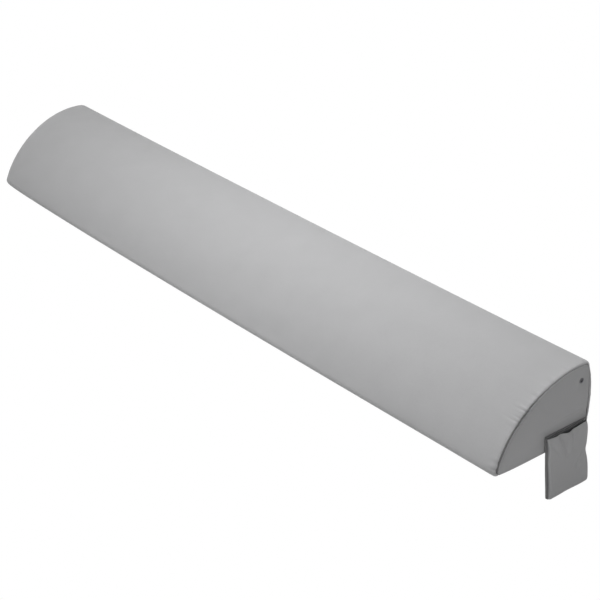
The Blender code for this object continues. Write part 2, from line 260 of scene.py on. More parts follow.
def tube(line, radius, sides, hint, closed=False):
    """Rings round a line, with one radius or one for each place. hint is a way the line never takes."""
    if closed:
        ahead = unit(np.roll(line, -1, 0) - np.roll(line, 1, 0))
    else:
        ahead = unit(np.gradient(line, axis=0))
    across = unit(np.cross(ahead, hint))
    upward = np.cross(across, ahead)
    turns = 2 * pi * np.arange(sides)[:, None] / sides
    ring = np.cos(turns) * across[:, None] + np.sin(turns) * upward[:, None]
    return line[:, None] + np.reshape(radius, (-1, 1, 1)) * ring


def tube_faces(count, sides, closed=False):
    """A tube's quads, with its two ends joined or capped."""
    last = (count - 1) * sides
    faces = grid_faces(count, sides, closed=True)[:, ::-1].tolist()
    if closed:
        return faces + [[j, (j + 1) % sides, last + (j + 1) % sides, last + j] for j in range(sides)]
    return faces + [list(range(sides)), [last + j for j in range(sides)][::-1]]


def on_cloth(along, across):
    """The places on the flat cloth of a grid of points."""
    return np.stack(np.broadcast_arrays(along[:, None], across[None, :]), -1)


def make_piece(name, points, faces, finish, cloth=None, inside=None):
    """A smooth piece. cloth holds each point's place on the flat cloth, for the pattern of its knit, and
    inside how much painted shade the cloth has there, or painted highlight where it is below zero."""
    mesh = bpy.data.meshes.new(name)
    mesh.from_pydata(np.asarray(points).reshape(-1, 3).tolist(), [], [list(f) for f in faces])
    mesh.shade_smooth()
    mesh.materials.append(finish)
    if cloth is not None:
        flat = np.zeros((len(mesh.vertices), 3), np.float32)
        flat[:, : cloth.shape[-1]] = cloth.reshape(-1, cloth.shape[-1])
        layer = mesh.attributes.new("cloth", "FLOAT_VECTOR", "POINT")
        layer.data.foreach_set("vector", flat.ravel())
    if inside is not None:
        layer = mesh.attributes.new("inside", "FLOAT", "POINT")
        layer.data.foreach_set("value", np.asarray(inside, np.float32).ravel())
    mesh.update()
    piece = bpy.data.objects.new(name, mesh)
    bpy.context.scene.collection.objects.link(piece)
    return piece


def thicken(piece, thickness):
    """Gives a cloth its thickness, on its inner side."""
    wall = piece.modifiers.new("Thickness", "SOLIDIFY")
    wall.thickness = thickness
    wall.offset = -1.0


def settle(piece, slot, body, *nodes):
    """Fits a finished piece to its CAD body and hides the nodes it stands for. slot is not used."""
    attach(piece, body)
    if nodes:
        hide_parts(*nodes)


def plate(node):
    """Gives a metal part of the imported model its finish."""
    part = frame["nodes"][node]
    part.data.materials.clear()
    part.data.materials.append(finish("gunmetal"))
    return part


def sewn_line(name, points, radius, pitch, finish, closed=False, sides=6, sunk=0.3):
    """A row of stitches along a smooth path: each one is a short swell of the thread, and between two
    the thread dips into the cloth. sunk is the share of its radius that is left at a dip."""
    points = np.asarray(points, float)
    if closed:
        points = np.concatenate([points, points[:1]])
    steps = np.linalg.norm(np.diff(points, axis=0), axis=1)
    along = np.concatenate([[0.0], np.cumsum(steps)])
    stitches = max(1, round(along[-1] / pitch))
    per_stitch = 6
    count = stitches * per_stitch + (0 if closed else 1)
    at = along[-1] * np.arange(count) / (stitches * per_stitch)
    line = np.stack([np.interp(at, along, points[:, k]) for k in range(3)], 1)
    phase = np.arange(count) % per_stitch / per_stitch
    swell = radius * (sunk + (1 - sunk) * np.sqrt(np.sin(pi * phase).clip(0)))
    shell = tube(line, swell, sides, (0.31, 0.52, 0.79), closed)
    cloth = on_cloth(at, radius * 2 * pi * np.arange(sides) / sides)
    return make_piece(name, shell, tube_faces(count, sides, closed), finish, cloth)


# The filled cover


class Cover:
    """Where the cover's cloth lies once it is filled."""

    # Distance from a seam within which the soft lumps fade.
    CALM = 0.03
    # Share of an end seam's depth that the long seams have, and that an end's own side has.
    LONG_SEAM = 0.6
    END_SEAM = 0.75
    # How far from an end seam the cloth has painted shade: beside it round the pillow, beside it on the
    # end and softly on the end; and how far the painted highlight beside it round the pillow reaches.
    WALL_REACH = 0.0018
    END_REACH = 0.0042
    SOFT_REACH = 0.012
    HIGHLIGHT_REACH = 0.016
    # Strength of the end's painted shade beside that round the pillow, and of a ridge's painted highlight
    # beside a crease's painted shade.
    END_SHARE = 0.6
    RIDGE_LIGHT = 0.3

    def __init__(self, settings):
        self.settings = settings
        self.outline = Outline(settings.crown_radius, settings.corner)
        self.half = self.outline.half
        self.middle = np.array([settings.end_middle_y, settings.end_middle_z])
        cell = settings.uneven_cell
        shape = (round(2 * self.half / cell) + 6, round(self.outline.length / cell))
        self.lumps = np.random.default_rng(settings.seed).normal(size=shape)
        self.swollen = None
        self.swollen = Swell(self)

    def slump(self, points):
        """What the foam's weight and its cut do to the whole pillow: the front bows out between the ends,
        and the top of the back sinks a little."""
        s, line = self.settings, self.outline
        share = (points[..., 0] / self.half).clip(-1, 1)
        far, near = (1 + share) / 2, (1 - share) / 2
        bow = 2.1 * far**0.35 * near**0.9
        depth = (points[..., 1] - line.nose) / (line.back - line.nose)
        high = (points[..., 2] / line.height).clip(0, 1)
        out = points.copy()
        out[..., 1] -= s.front_bow * bow * (1 - depth).clip(0) ** 1.5
        out[..., 2] -= s.top_dip * (1 - share**2) ** 0.7 * high**3
        out[..., 2] -= s.base_sag * (1 - high) ** 8 * np.sin(pi * depth.clip(0, 1)) ** 0.6
        tuck = np.exp(-(self.half - abs(points[..., 0])).clip(0) / s.back_tuck_reach)
        pinch = s.corner_pinch * tuck * (high * depth.clip(0)) ** 8
        pinched = np.where(share > 0, s.nose_pinch, s.far_nose_pinch)
        out[..., 1] += pinched * tuck * (1 - depth).clip(0) ** 10
        out[..., 1] -= s.back_tuck * tuck * np.sin(pi * high) * depth.clip(0) ** 4 + pinch
        out[..., 2] -= pinch
        return out

    def groove(self, d):
        """How deep the cloth is pulled in at this distance from a seam."""
        s = self.settings
        return s.seam_depth * np.exp(-d / s.seam_width)

    def seam_shade(self, d, s, reach):
        """Painted shade on the cloth where it is drawn into an end seam."""
        return self.settings.seam_shade * (self.tight(s) - 0.4).clip(0) * np.exp(-((d / reach) ** 2))

    def end_shade(self, q, s):
        """The same painted shade for an end, with a wider, soft painted shade beside its seam where the
        crown shades it.
        """
        places, normals = self.outline.at(s)
        d = q[:, None] * -((self.middle - places) * normals).sum(-1)
        soft = self.settings.end_shade * (0.5 + 0.5 * self.tight(s)) * np.exp(-d / self.SOFT_REACH)
        return self.END_SHARE * self.seam_shade(d, s, self.END_REACH) + soft

    def wall_shade(self, x, s):
        """The same painted shade for the panels round the pillow. The creases of the puckers get painted
        shade too, their ridges a painted highlight, and the cloth beside the seam a band of painted
        highlight."""
        d = self.half - abs(x)
        # stretched is the band of painted highlight beside the seam.
        stretched = np.exp(-((d / self.HIGHLIGHT_REACH) ** 2)) * (1 - np.exp(-((d / 0.003) ** 2)))
        shade = self.seam_shade(d[:, None], s, self.WALL_REACH)
        shade = shade - self.settings.seam_highlight * stretched[:, None]
        for side in (-1, 1):
            at_side = x * side > 0
            folds = self.puckers(d[at_side, None], s, side, self.settings.seed + 2 * side)
            folds = np.where(folds < 0, folds, self.RIDGE_LIGHT * folds) / self.settings.pucker_depth
            shade[at_side] -= self.settings.crease_shade * folds
        return shade

    def tight(self, s):
        """How much harder an end seam is pulled in on the lower crown than elsewhere."""
        crown = s / self.outline.front
        return 0.32 + 1.0 * np.exp(-(((crown - 0.72) / 0.3) ** 4))

    def puckers(self, d, s, side, seed):
        """Small ridges that run into an end seam, with creases between them, deepest where the curve
        was eased in most. They are slight at the far end."""
        set_ = self.settings
        length = self.outline.length
        cells = round(length / set_.pucker_pitch)
        rng = np.random.default_rng(seed)
        weights = spline_weights(s / length * cells, cells, closed=True)
        signs = np.where(np.arange(cells) % 2, 3.0, -3.0) * (0.6 + 0.8 * rng.random(cells))
        reach = weights @ (0.4 + 1.2 * rng.random(cells))
        strength = 0.25 * (weights @ rng.random(cells))
        crown = s / self.outline.front
        for place, amount in zip(set_.gather_places, set_.gather_amounts):
            strength = strength + amount * np.exp(-(((crown - place) / set_.gather_width) ** 2))
        start = 1 - np.exp(-((d / 0.0015) ** 2))
        fade = np.exp(-((d / (set_.pucker_length * reach)) ** 1.4)) * (0.35 + 0.65 * start)
        depth = set_.pucker_depth * (1.0 if side > 0 else set_.far_puckers)
        return depth * (abs(weights @ signs) ** 0.6 - 0.6) * strength * fade

    def wall(self, x, s):
        """The cloth round the pillow, at places along it and round it."""
        set_ = self.settings
        x, s = np.asarray(x, float), np.asarray(s, float)
        places, normals = self.outline.at(s)
        d = self.half - abs(x)
        theta = (1 - d / set_.end_corner).clip(0, 1) * set_.seam_turn
        round_x = self.half - set_.end_corner * (1 - np.sin(theta))
        lift = set_.unevenness * lumps(x, s / self.outline.length, self.lumps, set_.uneven_cell)
        free = 1 - np.exp(-((self.outline.to_seam(s) / self.CALM) ** 2))
        lift = lift * free * (1 - np.exp(-d / self.CALM))[:, None]
        if self.swollen:
            lift = lift + self.swollen.on_wall(x, s)
        rolled = d / set_.back_tuck_reach * np.exp(1 - d / set_.back_tuck_reach)
        upright = np.sin(pi * (places[:, 1] / self.outline.height).clip(0, 1)) * (normals[:, 0] > 0.5)
        lift = lift + set_.back_roll * rolled[:, None] * upright * (s > self.outline.heel)
        for side in (-1, 1):
            at_side = x * side > 0
            near = self.puckers(d[at_side, None], s, side, set_.seed + 2 * side)
            flat = (places[:, 1] > 0.002) | (normals[:, 1] > -0.9)
            lift[at_side] += near * flat
        lift = lift + set_.plumpness
        ends = self.groove(d)[:, None] * self.tight(s)
        lift = lift - np.maximum(ends, self.LONG_SEAM * self.groove(self.outline.to_seam(s)))
        inset = set_.end_corner * (1 - np.cos(theta))[:, None] - lift * np.cos(theta)[:, None]
        points = np.empty((len(x), len(s), 3))
        points[..., 0] = np.sign(x)[:, None] * (
            np.where(theta > 0, round_x, abs(x))[:, None] + lift * np.sin(theta)[:, None]
        )
        points[..., 1:] = places - normals * inset[..., None]
        return self.slump(points)

    def end(self, side, q, s):
        """The cloth of an end, from its seam at q = 0 to the middle of the panel at q = 1."""
        set_ = self.settings
        places, normals = self.outline.at(s)
        inward = self.middle - places
        straight = -(inward * normals).sum(-1)
        d = q[:, None] * straight
        rho = set_.end_corner
        theta = (1 - d / rho).clip(0, 1) * (pi / 2 - set_.seam_turn)
        inset = np.where(theta > 0, rho * (1 - np.sin(theta)), d)
        lift = set_.end_fullness * (1 - (1 - q[:, None]) ** 2.2) * np.ones(len(s))
        if self.swollen:
            lift = self.swollen.on_end(side, q, s)
        lift = lift + self.puckers(d, s, side, set_.seed + 4 * side) * 0.5 * np.exp(-d / 0.02)
        lift = lift + set_.plumpness
        if side > 0:
            lift = lift * self.pressed(places + inward * (inset / straight)[..., None])
        lift = lift - self.END_SEAM * self.groove(1.5 * d) * self.tight(s)
        points = np.empty((len(q), len(s), 3))
        points[..., 0] = side * (self.half - rho * (1 - np.cos(theta)) + lift * np.cos(theta))
        out = lift * np.sin(theta)
        shift = inward * (inset / straight)[..., None] + normals * out[..., None]
        points[..., 1:] = places + shift
        return self.slump(points)

    def pressed(self, places):
        """The share of its lift that the near end keeps: little round the eyelet and above the pocket."""
        set_, vent, seam = self.settings, box_middle("vent_eyelet"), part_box("pocket_top_seam")
        away = np.hypot(places[..., 0] - vent.y, places[..., 1] - vent.z)
        kept = 1 - np.exp(-((away / set_.eyelet_press) ** 2))
        above = (places[..., 1] - seam[1].z - 0.4 * set_.pocket_press) / set_.pocket_press
        beside = (seam[0].y - places[..., 0]).clip(0) / set_.pocket_press
        return kept * (1 - np.exp(-(above**4) - beside**2))


class Swell:
    """A cloth simulation of the filled cover, held along its seams. It gives how far the cloth lifts."""

    # Rings of points across an end, distance between points round the cover, how far the cloth may
    # sink, and how close to a seam it is held.
    ENDS = 12
    SPACING = 0.0075
    MOST_SINK = 0.0012
    HELD = 0.008

    def __init__(self, cover):
        self.cover = cover
        outline, half = cover.outline, cover.half
        self.xs = graded(-half, half, 0.004, 0.013, 0.08)
        marks = [0.0, outline.front, outline.heel, outline.zip, outline.length]
        counts = [max(2, round((b - a) / self.SPACING)) for a, b in zip(marks, marks[1:])]
        runs = [np.linspace(a, b, n + 1)[:-1] for a, b, n in zip(marks, marks[1:], counts)]
        self.ss = np.concatenate(runs)
        self.held_columns = {round(float(m), 6) for m in marks}
        self.q = np.linspace(0, 1, self.ENDS + 1)[1:-1]
        piece, held = self.build()
        self.simulate(piece, held)

    def build(self):
        """The form to swell, with the points that are held: the seams, the zip and the base."""
        outline, cover = self.cover.outline, self.cover
        places, normals = outline.at(self.ss)
        rows, columns = len(self.xs), len(self.ss)
        walls = np.empty((rows, columns, 3))
        walls[..., 0] = self.xs[:, None]
        walls[..., 1:] = places
        faces = grid_faces(rows, columns, closed=True).tolist()
        points = [walls.reshape(-1, 3)]
        count = rows * columns
        for side, edge in ((-1, 0), (1, (rows - 1) * columns)):
            ring = list(range(edge, edge + columns))
            for q in self.q:
                disc = np.empty((columns, 3))
                disc[:, 0] = side * cover.half
                disc[:, 1:] = places + (cover.middle - places) * q
                points.append(disc)
                following = list(range(count, count + columns))
                faces += self.band(ring, following, side)
                ring, count = following, count + columns
            points.append(np.array([[side * cover.half, *cover.middle]]))
            faces += [
                [ring[j], ring[(j + 1) % columns], count][::side] for j in range(columns)
            ]
            count += 1
        points = np.concatenate(points)
        piece = self.bare(points, faces)
        on_seam = [round(float(s), 6) in self.held_columns for s in self.ss]
        on_base = (self.ss >= outline.front) & (self.ss <= outline.heel)
        held = np.zeros(len(points), bool)
        grid = held[: rows * columns].reshape(rows, columns)
        grid[[0, -1]] = True
        grid[:, np.array(on_seam) | on_base] = True
        self.shape = (rows, columns)
        self.normals = normals
        return piece, held

    @staticmethod
    def band(ring, following, side):
        """Quads from one closed ring of points to the next, facing out of the end on this side."""
        columns = len(ring)
        found = []
        for j in range(columns):
            k = (j + 1) % columns
            found.append([ring[j], ring[k], following[k], following[j]][::side])
        return found

    @staticmethod
    def bare(points, faces):
        mesh = bpy.data.meshes.new("swell_form")
        mesh.from_pydata(points.tolist(), [], faces)
        piece = bpy.data.objects.new("swell_form", mesh)
        bpy.context.scene.collection.objects.link(piece)
        return piece

    def simulate(self, piece, held):
        """Blows the form up as cloth, and keeps how far each point lifts off the outline."""
        settings = self.cover.settings
        group = piece.vertex_groups.new(name="held")
        group.add(np.flatnonzero(held).tolist(), 1.0, "REPLACE")
        cloth = piece.modifiers.new("Swell", "CLOTH")
        stuff = cloth.settings
        stuff.vertex_group_mass = "held"
        stuff.quality = 5
        stuff.mass = 0.3
        stuff.tension_stiffness = settings.cloth_stiffness
        stuff.compression_stiffness = settings.cloth_stiffness
        stuff.shear_stiffness = settings.cloth_stiffness / 2
        stuff.bending_stiffness = 0.5
        stuff.air_damping = 4
        stuff.use_pressure = True
        stuff.uniform_pressure_force = settings.pressure
        stuff.shrink_min = -settings.ease
        stuff.effector_weights.gravity = 0
        cloth.collision_settings.use_collision = False
        cloth.collision_settings.use_self_collision = False
        scene = bpy.context.scene
        rest = np.array([v.co for v in piece.data.vertices])
        cloth.point_cache.frame_start = 1
        cloth.point_cache.frame_end = settings.swell_frames
        for number in range(1, settings.swell_frames + 1):
            scene.frame_set(number)
        shown = piece.evaluated_get(bpy.context.evaluated_depsgraph_get())
        moved = np.empty(len(rest) * 3, np.float32)
        shown.data.vertices.foreach_get("co", moved)
        scene.frame_set(1)
        bpy.data.objects.remove(piece)
        shift = moved.reshape(-1, 3) - rest
        rows, columns = self.shape
        walls = shift[: rows * columns].reshape(rows, columns, 3)
        self.walls = (walls[..., 1:] * self.normals).sum(-1)
        self.ends = {}
        count = rows * columns
        for side in (-1, 1):
            size = len(self.q) * columns
            inner = side * shift[count : count + size, 0].reshape(-1, columns)
            middle = np.full((1, columns), side * shift[count + size, 0])
            self.ends[side] = np.concatenate([np.zeros((1, columns)), inner, middle])
            count += size + 1

    def on_wall(self, x, s):
        """The lift of the cloth round the pillow, kept small beside the long seams."""
        rows = len(self.xs)
        by_x = spline_weights(np.interp(x, self.xs, np.arange(rows)), rows)
        by_s = self.round_weights(s)
        table = self.walls * (self.cover.settings.most_lift / self.walls.max())
        lift = by_x @ table.clip(-self.MOST_SINK) @ by_s.T
        d = self.cover.outline.to_seam(s)
        return lift * (1 - np.exp(-((d / self.HELD) ** 2)))

    def on_end(self, side, q, s):
        """The lift of the cloth of an end."""
        table = self.ends[side] * (self.cover.settings.end_fullness / self.ends[side].max())
        by_q = spline_weights(q * self.ENDS, len(table))
        return by_q @ table @ self.round_weights(s).T

    def round_weights(self, s):
        """Spline weights at distances round the outline."""
        at = np.interp(s, np.append(self.ss, self.cover.outline.length), np.arange(len(self.ss) + 1))
        return spline_weights(at, len(self.ss), closed=True)


# Finishes


class Strand:
    """A socket that arithmetic works on: each operation adds a Math node, or a Vector Math node where
    either side is a vector."""

    def __init__(self, finish, socket):
        self.finish, self.socket = finish, socket

    def both(self, operation, first, second):
        vectors = [v.socket.type == "VECTOR" for v in (first, second) if isinstance(v, Strand)]
        kind = "ShaderNodeVectorMath" if any(vectors) else "ShaderNodeMath"
        return self.finish.add(kind, {"operation": operation}, {0: first, 1: second})

    def __add__(self, other):
        return self.both("ADD", self, other)

    def __radd__(self, other):
        return self.both("ADD", other, self)

    def __sub__(self, other):
        return self.both("SUBTRACT", self, other)

    def __rsub__(self, other):
        return self.both("SUBTRACT", other, self)

    def __mul__(self, other):
        return self.both("MULTIPLY", self, other)

    def __rmul__(self, other):
        return self.both("MULTIPLY", other, self)

    def __truediv__(self, other):
        return self.both("DIVIDE", self, other)


class Finish:
    """A material while it is made. Fixed values go straight onto the shader's sockets."""

    def __init__(self, name, colour, **fixed):
        self.material = bpy.data.materials.new(name)
        self.material.use_nodes = True
        self.tree = self.material.node_tree
        self.shader = self.tree.nodes["Principled BSDF"]
        self.colour = tuple(colour)
        self.put(self.shader.inputs["Base Color"], (*colour, 1.0))
        for socket, value in fixed.items():
            self.put(self.shader.inputs[socket.replace("_", " ").title().replace("Ior", "IOR")], value)

    def put(self, socket, value):
        if isinstance(value, Strand):
            self.tree.links.new(value.socket, socket)
        elif isinstance(value, (int, float)) and socket.type in ("VECTOR", "RGBA"):
            socket.default_value = [value] * len(socket.default_value)
        else:
            socket.default_value = value

    def add(self, kind, settings=None, inputs=None, output=0):
        """Any node: its settings first, then its sockets, then the output that is used."""
        node = self.tree.nodes.new(kind)
        for name, value in (settings or {}).items():
            if name == "ramp":
                self.shape_ramp(node, value)
            else:
                setattr(node, name, value)
        for name, value in (inputs or {}).items():
            self.put(node.inputs[name], value)
        return Strand(self, node.outputs[output])

    @staticmethod
    def shape_ramp(node, stops):
        ramp = node.color_ramp
        while len(ramp.elements) > len(stops):
            ramp.elements.remove(ramp.elements[-1])
        while len(ramp.elements) < len(stops):
            ramp.elements.new(1.0)
        for element, (place, grey) in zip(ramp.elements, stops):
            element.position = place
            element.color = (grey, grey, grey, 1.0)

    def maths(self, operation, *values):
        return self.add("ShaderNodeMath", {"operation": operation}, dict(enumerate(values)))

    def wave(self, phase):
        """0 to 1 and back, once for each whole phase."""
        return self.maths("SINE", phase * (2 * pi)) * 0.5 + 0.5

    def cloth(self):
        """The place on the flat cloth, in metres, as its two distances."""
        where = self.add("ShaderNodeAttribute", {"attribute_name": "cloth"}, output="Vector")
        self.flat = where
        return [self.split(where, axis) for axis in "XY"]

    def split(self, vector, axis):
        return self.add("ShaderNodeSeparateXYZ", None, {0: vector}, axis)

    def noise(self, vector, cell, detail=2.0, roughness=0.5):
        """Noise whose grains are about one cell apart."""
        inputs = {"Vector": vector, "Scale": 1 / cell, "Detail": detail, "Roughness": roughness}
        return self.add("ShaderNodeTexNoise", {"noise_dimensions": "3D"}, inputs)

    def shade(self, amount, low, high):
        """The base colour, darker where amount is 0 and lighter where it is 1."""
        ends = [tuple(min(1.0, c * by) for c in self.colour) + (1.0,) for by in (low, high)]
        made = {"data_type": "RGBA", "clamp_factor": False, "clamp_result": True}
        mixed = self.add("ShaderNodeMix", made, {0: amount, 6: ends[0], 7: ends[1]}, output=2)
        self.put(self.shader.inputs["Base Color"], mixed)

    def rough(self, amount):
        self.put(self.shader.inputs["Roughness"], amount)

    def bump(self, height, distance, strength=1.0):
        inputs = {"Strength": strength, "Distance": distance, "Height": height}
        raised = self.add("ShaderNodeBump", None, inputs)
        self.put(self.shader.inputs["Normal"], raised)


def knit_finish(name, settings):
    """A fine brushed jersey: rows of small vees under a short nap, with faint cloudy shading."""
    made = Finish(
        name,
        settings.knit_colour,
        roughness=0.9,
        sheen_weight=settings.knit_sheen,
        sheen_roughness=0.5,
        specular_ior_level=0.25,
    )
    along, across = made.cloth()
    wale = along / settings.wale
    side = made.maths("ABSOLUTE", made.maths("FRACT", wale) - 0.5)
    vee = made.wave(across / settings.course + side)
    rib = made.maths("SQRT", made.maths("ABSOLUTE", made.maths("SINE", wale * (2 * pi))))
    nap = made.noise(made.flat, settings.wale * 0.6, detail=3.0)
    cloud = made.noise(made.flat, 0.055, detail=3.0, roughness=0.55)
    slub = made.noise(made.flat, 0.006, detail=2.0)
    # The inside attribute holds painted shade, or painted highlight where it is below zero. It falls at
    # the seams, in the puckers' creases and on their ridges, on the pocket's folded side and inside the
    # pocket, and it darkens or lightens the base colour.
    inside = made.add("ShaderNodeAttribute", {"attribute_name": "inside"}, output="Fac")
    pattern = 0.5 * cloud + 0.25 * slub + 0.15 * nap + 0.1 * vee * rib
    made.shade(pattern - inside * settings.painted_shade_scale, 0.93, 1.07)
    made.rough(0.85 + 0.1 * nap)
    made.bump(vee * rib * 0.5 + nap * 0.6 + slub * 0.5, settings.knit_relief)
    return made.material


def thread_finish(name, colour):
    """Twisted polyester thread."""
    made = Finish(name, colour, roughness=0.7, sheen_weight=0.2)
    along, turn = made.cloth()
    twist = made.wave(along / 0.0008 + turn / 0.0010)
    fuzz = made.noise(made.flat, 0.0004)
    made.shade(0.6 * twist + 0.4 * fuzz, 0.75, 1.2)
    made.bump(twist + fuzz * 0.3, 0.0001)
    return made.material


def lining_finish(name, colour):
    """Thin plain knit, a little see-through between its loops."""
    made = Finish(name, colour, roughness=0.9)
    along, across = made.cloth()
    loops = made.wave(along / 0.0012) * made.wave(across / 0.0009)
    creases = made.noise(made.flat, 0.03)
    made.shade(0.5 * loops + 0.5 * creases, 0.88, 1.03)
    made.bump(loops + creases, 0.0002)
    return made.material


def foam_finish(name, colour):
    """Open-cell foam: small round cells of several sizes, a little yellowed in patches."""
    made = Finish(name, colour, roughness=0.95, subsurface_weight=0.1)
    where = made.add("ShaderNodeTexCoord", output="Object")
    cells = made.add(
        "ShaderNodeTexVoronoi", {"feature": "F1"}, {"Vector": where, "Scale": 700.0}, "Distance"
    )
    yellow = made.noise(where, 0.05)
    made.shade(0.5 * cells + 0.5 * yellow, 0.85, 1.05)
    made.bump(cells, 0.0005)
    return made.material


def tape_finish(name, colour):
    """Zip tape: herringbone ribs along a woven strip."""
    made = Finish(name, colour, roughness=0.85, sheen_weight=0.15)
    along, across = made.cloth()
    rib = made.maths("PINGPONG", across, 0.0018)
    bone = made.wave((along + rib) / 0.0009)
    fuzz = made.noise(made.flat, 0.0006)
    made.shade(0.7 * bone + 0.3 * fuzz, 0.8, 1.15)
    made.bump(bone + fuzz * 0.3, 0.00015)
    return made.material


def coil_finish(name, colour):
    """Nylon monofilament, slightly glossy."""
    made = Finish(name, colour, roughness=0.4)
    where = made.add("ShaderNodeTexCoord", output="Object")
    scuff = made.noise(where, 0.004, detail=4.0)
    made.shade(scuff, 0.85, 1.2)
    made.rough(0.35 + 0.2 * scuff)
    made.bump(scuff, 0.00005)
    return made.material


def metal_finish(name, colour):
    """Dark plated metal, rubbed brighter and rougher in fine streaks."""
    made = Finish(name, colour, metallic=1.0, roughness=0.35)
    where = made.add("ShaderNodeTexCoord", output="Object")
    stretched = where * (1.0, 6.0, 6.0)
    rub = made.noise(stretched, 0.004, detail=5.0)
    pits = made.noise(where, 0.0007, detail=2.0)
    made.shade(0.7 * rub + 0.3 * pits, 0.7, 1.6)
    made.rough(0.26 + 0.25 * rub)
    made.bump(0.6 * pits + 0.4 * rub, 0.00004)
    return made.material


def label_finish(name, colour):
    """Satin tape with a selvedge at each side."""
    made = Finish(name, colour, roughness=0.55, sheen_weight=0.1)
    along, across = made.cloth()
    weft = made.wave(across / 0.0005)
    warp = made.wave(along / 0.0008)
    wear = made.noise(made.flat, 0.01, detail=3.0)
    made.shade(0.3 * weft + 0.2 * warp + 0.5 * wear, 0.9, 1.04)
    made.rough(0.45 + 0.2 * wear)
    made.bump(weft + warp * 0.5, 0.00006)
    return made.material


MADE = {}


def finish(slot):
    """The one material of each slot, made when it is first asked for."""
    if slot not in MADE:
        scene = bpy.context.scene
        knit, colours = scene.bolster_knit, scene.bolster_colours
        makers = {
            "cover_knit": lambda: knit_finish("brushed_knit", knit),
            "thread": lambda: thread_finish("sewing_thread", colours.thread),
            "lining": lambda: lining_finish("liner_knit", colours.lining),
            "foam": lambda: foam_finish("open_cell_foam", colours.foam),
            "zip_tape": lambda: tape_finish("herringbone_tape", colours.zip_tape),
            "zip_coil": lambda: coil_finish("nylon_coil", colours.zip_coil),
            "gunmetal": lambda: metal_finish("gunmetal", colours.metal),
            "label": lambda: label_finish("satin_label", colours.label),
        }
        MADE[slot] = makers[slot]()
    return MADE[slot]


def cover():
    if "cover" not in MADE:
        MADE["cover"] = Cover(bpy.context.scene.bolster_cover)
    return MADE["cover"]


# Sizes and colours


def metres(name, default, description):
    return FloatProperty(
        name=name, default=default, description=description, unit="LENGTH", precision=4
    )


def share(name, default, description):
    return FloatProperty(name=name, default=default, description=description, subtype="FACTOR")


def number(name, default, description):
    return FloatProperty(name=name, default=default, description=description)


def turn(name, degrees, description):
    return FloatProperty(
        name=name, default=radians(degrees), description=description, subtype="ANGLE"
    )


def colour(name, default, description):
    return FloatVectorProperty(
        name=name, default=default, description=description, subtype="COLOR", min=0.0, max=1.0
    )


class BOLSTER_PG_cover(bpy.types.PropertyGroup):
    crown_radius: metres("Crown radius", 0.248, "Radius of the domed front")
    corner: metres("Long corner", 0.0042, "Softness of the corners along the top and the heel")
    end_corner: metres("End corner", 0.0045, "Radius of the cloth where it turns onto an end")
    seam_turn: turn("Seam turn", 70, "How far round an end's corner its seam lies")
    cloth_thickness: metres("Cloth thickness", 0.0012, "Thickness of the knit")
    seam_depth: metres("Seam depth", 0.0048, "How far a seam is pulled in")
    seam_width: metres("Seam width", 0.0021, "How fast the groove at a seam gets shallower")
    # The next four set painted shade and painted highlight on the knit: in the seams' grooves, softly on
    # the ends beside their seams, a paler band beside the end seams, and in the puckers' creases and on
    # their ridges.
    seam_shade: share("Seam shade", 0.72, "How dark the cloth looks where it is drawn into a seam")
    end_shade: share("End shade", 0.13, "How dark an end looks close to its seam")
    seam_highlight: share("Stretch light", 0.06, "How pale the cloth looks where it is stretched")
    crease_shade: share("Crease shade", 0.6, "How dark the creases between the puckers look")
    seam_gap: metres("Seam gap", 0.0004, "Room for the thread beside a panel's edge")
    front_bow: metres("Front bow", 0.0150, "How far the front stands out between the ends")
    top_dip: metres("Top dip", 0.0048, "How far the top sinks between the ends")
    base_sag: metres("Base sag", 0.0028, "How far the base hangs below its seams")
    back_tuck: metres("Back tuck", 0.0035, "How far the back is drawn in at its ends")
    back_tuck_reach: metres("Back tuck reach", 0.006, "Length over which the back is drawn in")
    nose_pinch: metres("Nose pinch", 0.0045, "How far the near corner at the nose is drawn in")
    far_nose_pinch: metres("Far nose pinch", 0.001, "How far the far corner at the nose is drawn in")
    corner_pinch: metres("Corner pinch", 0.0042, "How far the top corners are drawn in")
    back_roll: metres("Back roll", 0.0065, "How far the back stands out beside its ends")
    end_fullness: metres("End fullness", 0.003, "How far the ends bulge")
    end_middle_y: metres("End middle, depth", 0.035, "Where an end panel's rings meet")
    end_middle_z: metres("End middle, height", 0.062, "Where an end panel's rings meet")
    eyelet_press: metres("Eyelet press", 0.014, "How far round the eyelet the cloth is pressed")
    pocket_press: metres("Pocket press", 0.018, "How far above its seam the pocket presses the cloth")
    plumpness: metres("Plumpness", 0.0013, "How far the filling pushes all the cloth out")
    unevenness: metres("Unevenness", 0.00045, "Height of the soft lumps in the cloth")
    uneven_cell: metres("Lump size", 0.07, "Distance between the soft lumps")
    pucker_depth: metres("Pucker depth", 0.0065, "Height of the ridges at an end seam")
    pucker_pitch: metres("Pucker pitch", 0.0085, "Distance between the ridges at an end seam")
    far_puckers: share("Far puckers", 0.12, "How deep the far end's ridges are beside the near end's")
    pucker_length: metres("Pucker length", 0.013, "How far the ridges run from an end seam")
    gather_places: FloatVectorProperty(
        name="Gathers",
        default=(0.545, 0.33, 0.93),
        description="Where on the crown's curve the ridges are deepest",
    )
    gather_amounts: FloatVectorProperty(
        name="Gather strengths", default=(1.0, 0.42, 0.5), description="How deep each gather is"
    )
    gather_width: share("Gather width", 0.085, "How much of the crown's curve one gather takes")
    pressure: number("Pressure", 4.0, "Pressure of the filling on the cloth")
    cloth_stiffness: number("Cloth stiffness", 40.0, "How little the cloth stretches")
    ease: share("Ease", 0.004, "How much larger the cloth is cut than the filling")
    most_lift: metres("Most lift", 0.003, "How far the filling lifts the cloth at most")
    swell_frames: IntProperty(name="Swell frames", default=20, description="Steps of the simulation")
    seed: IntProperty(name="Seed", default=11, description="Start of the random ridges")


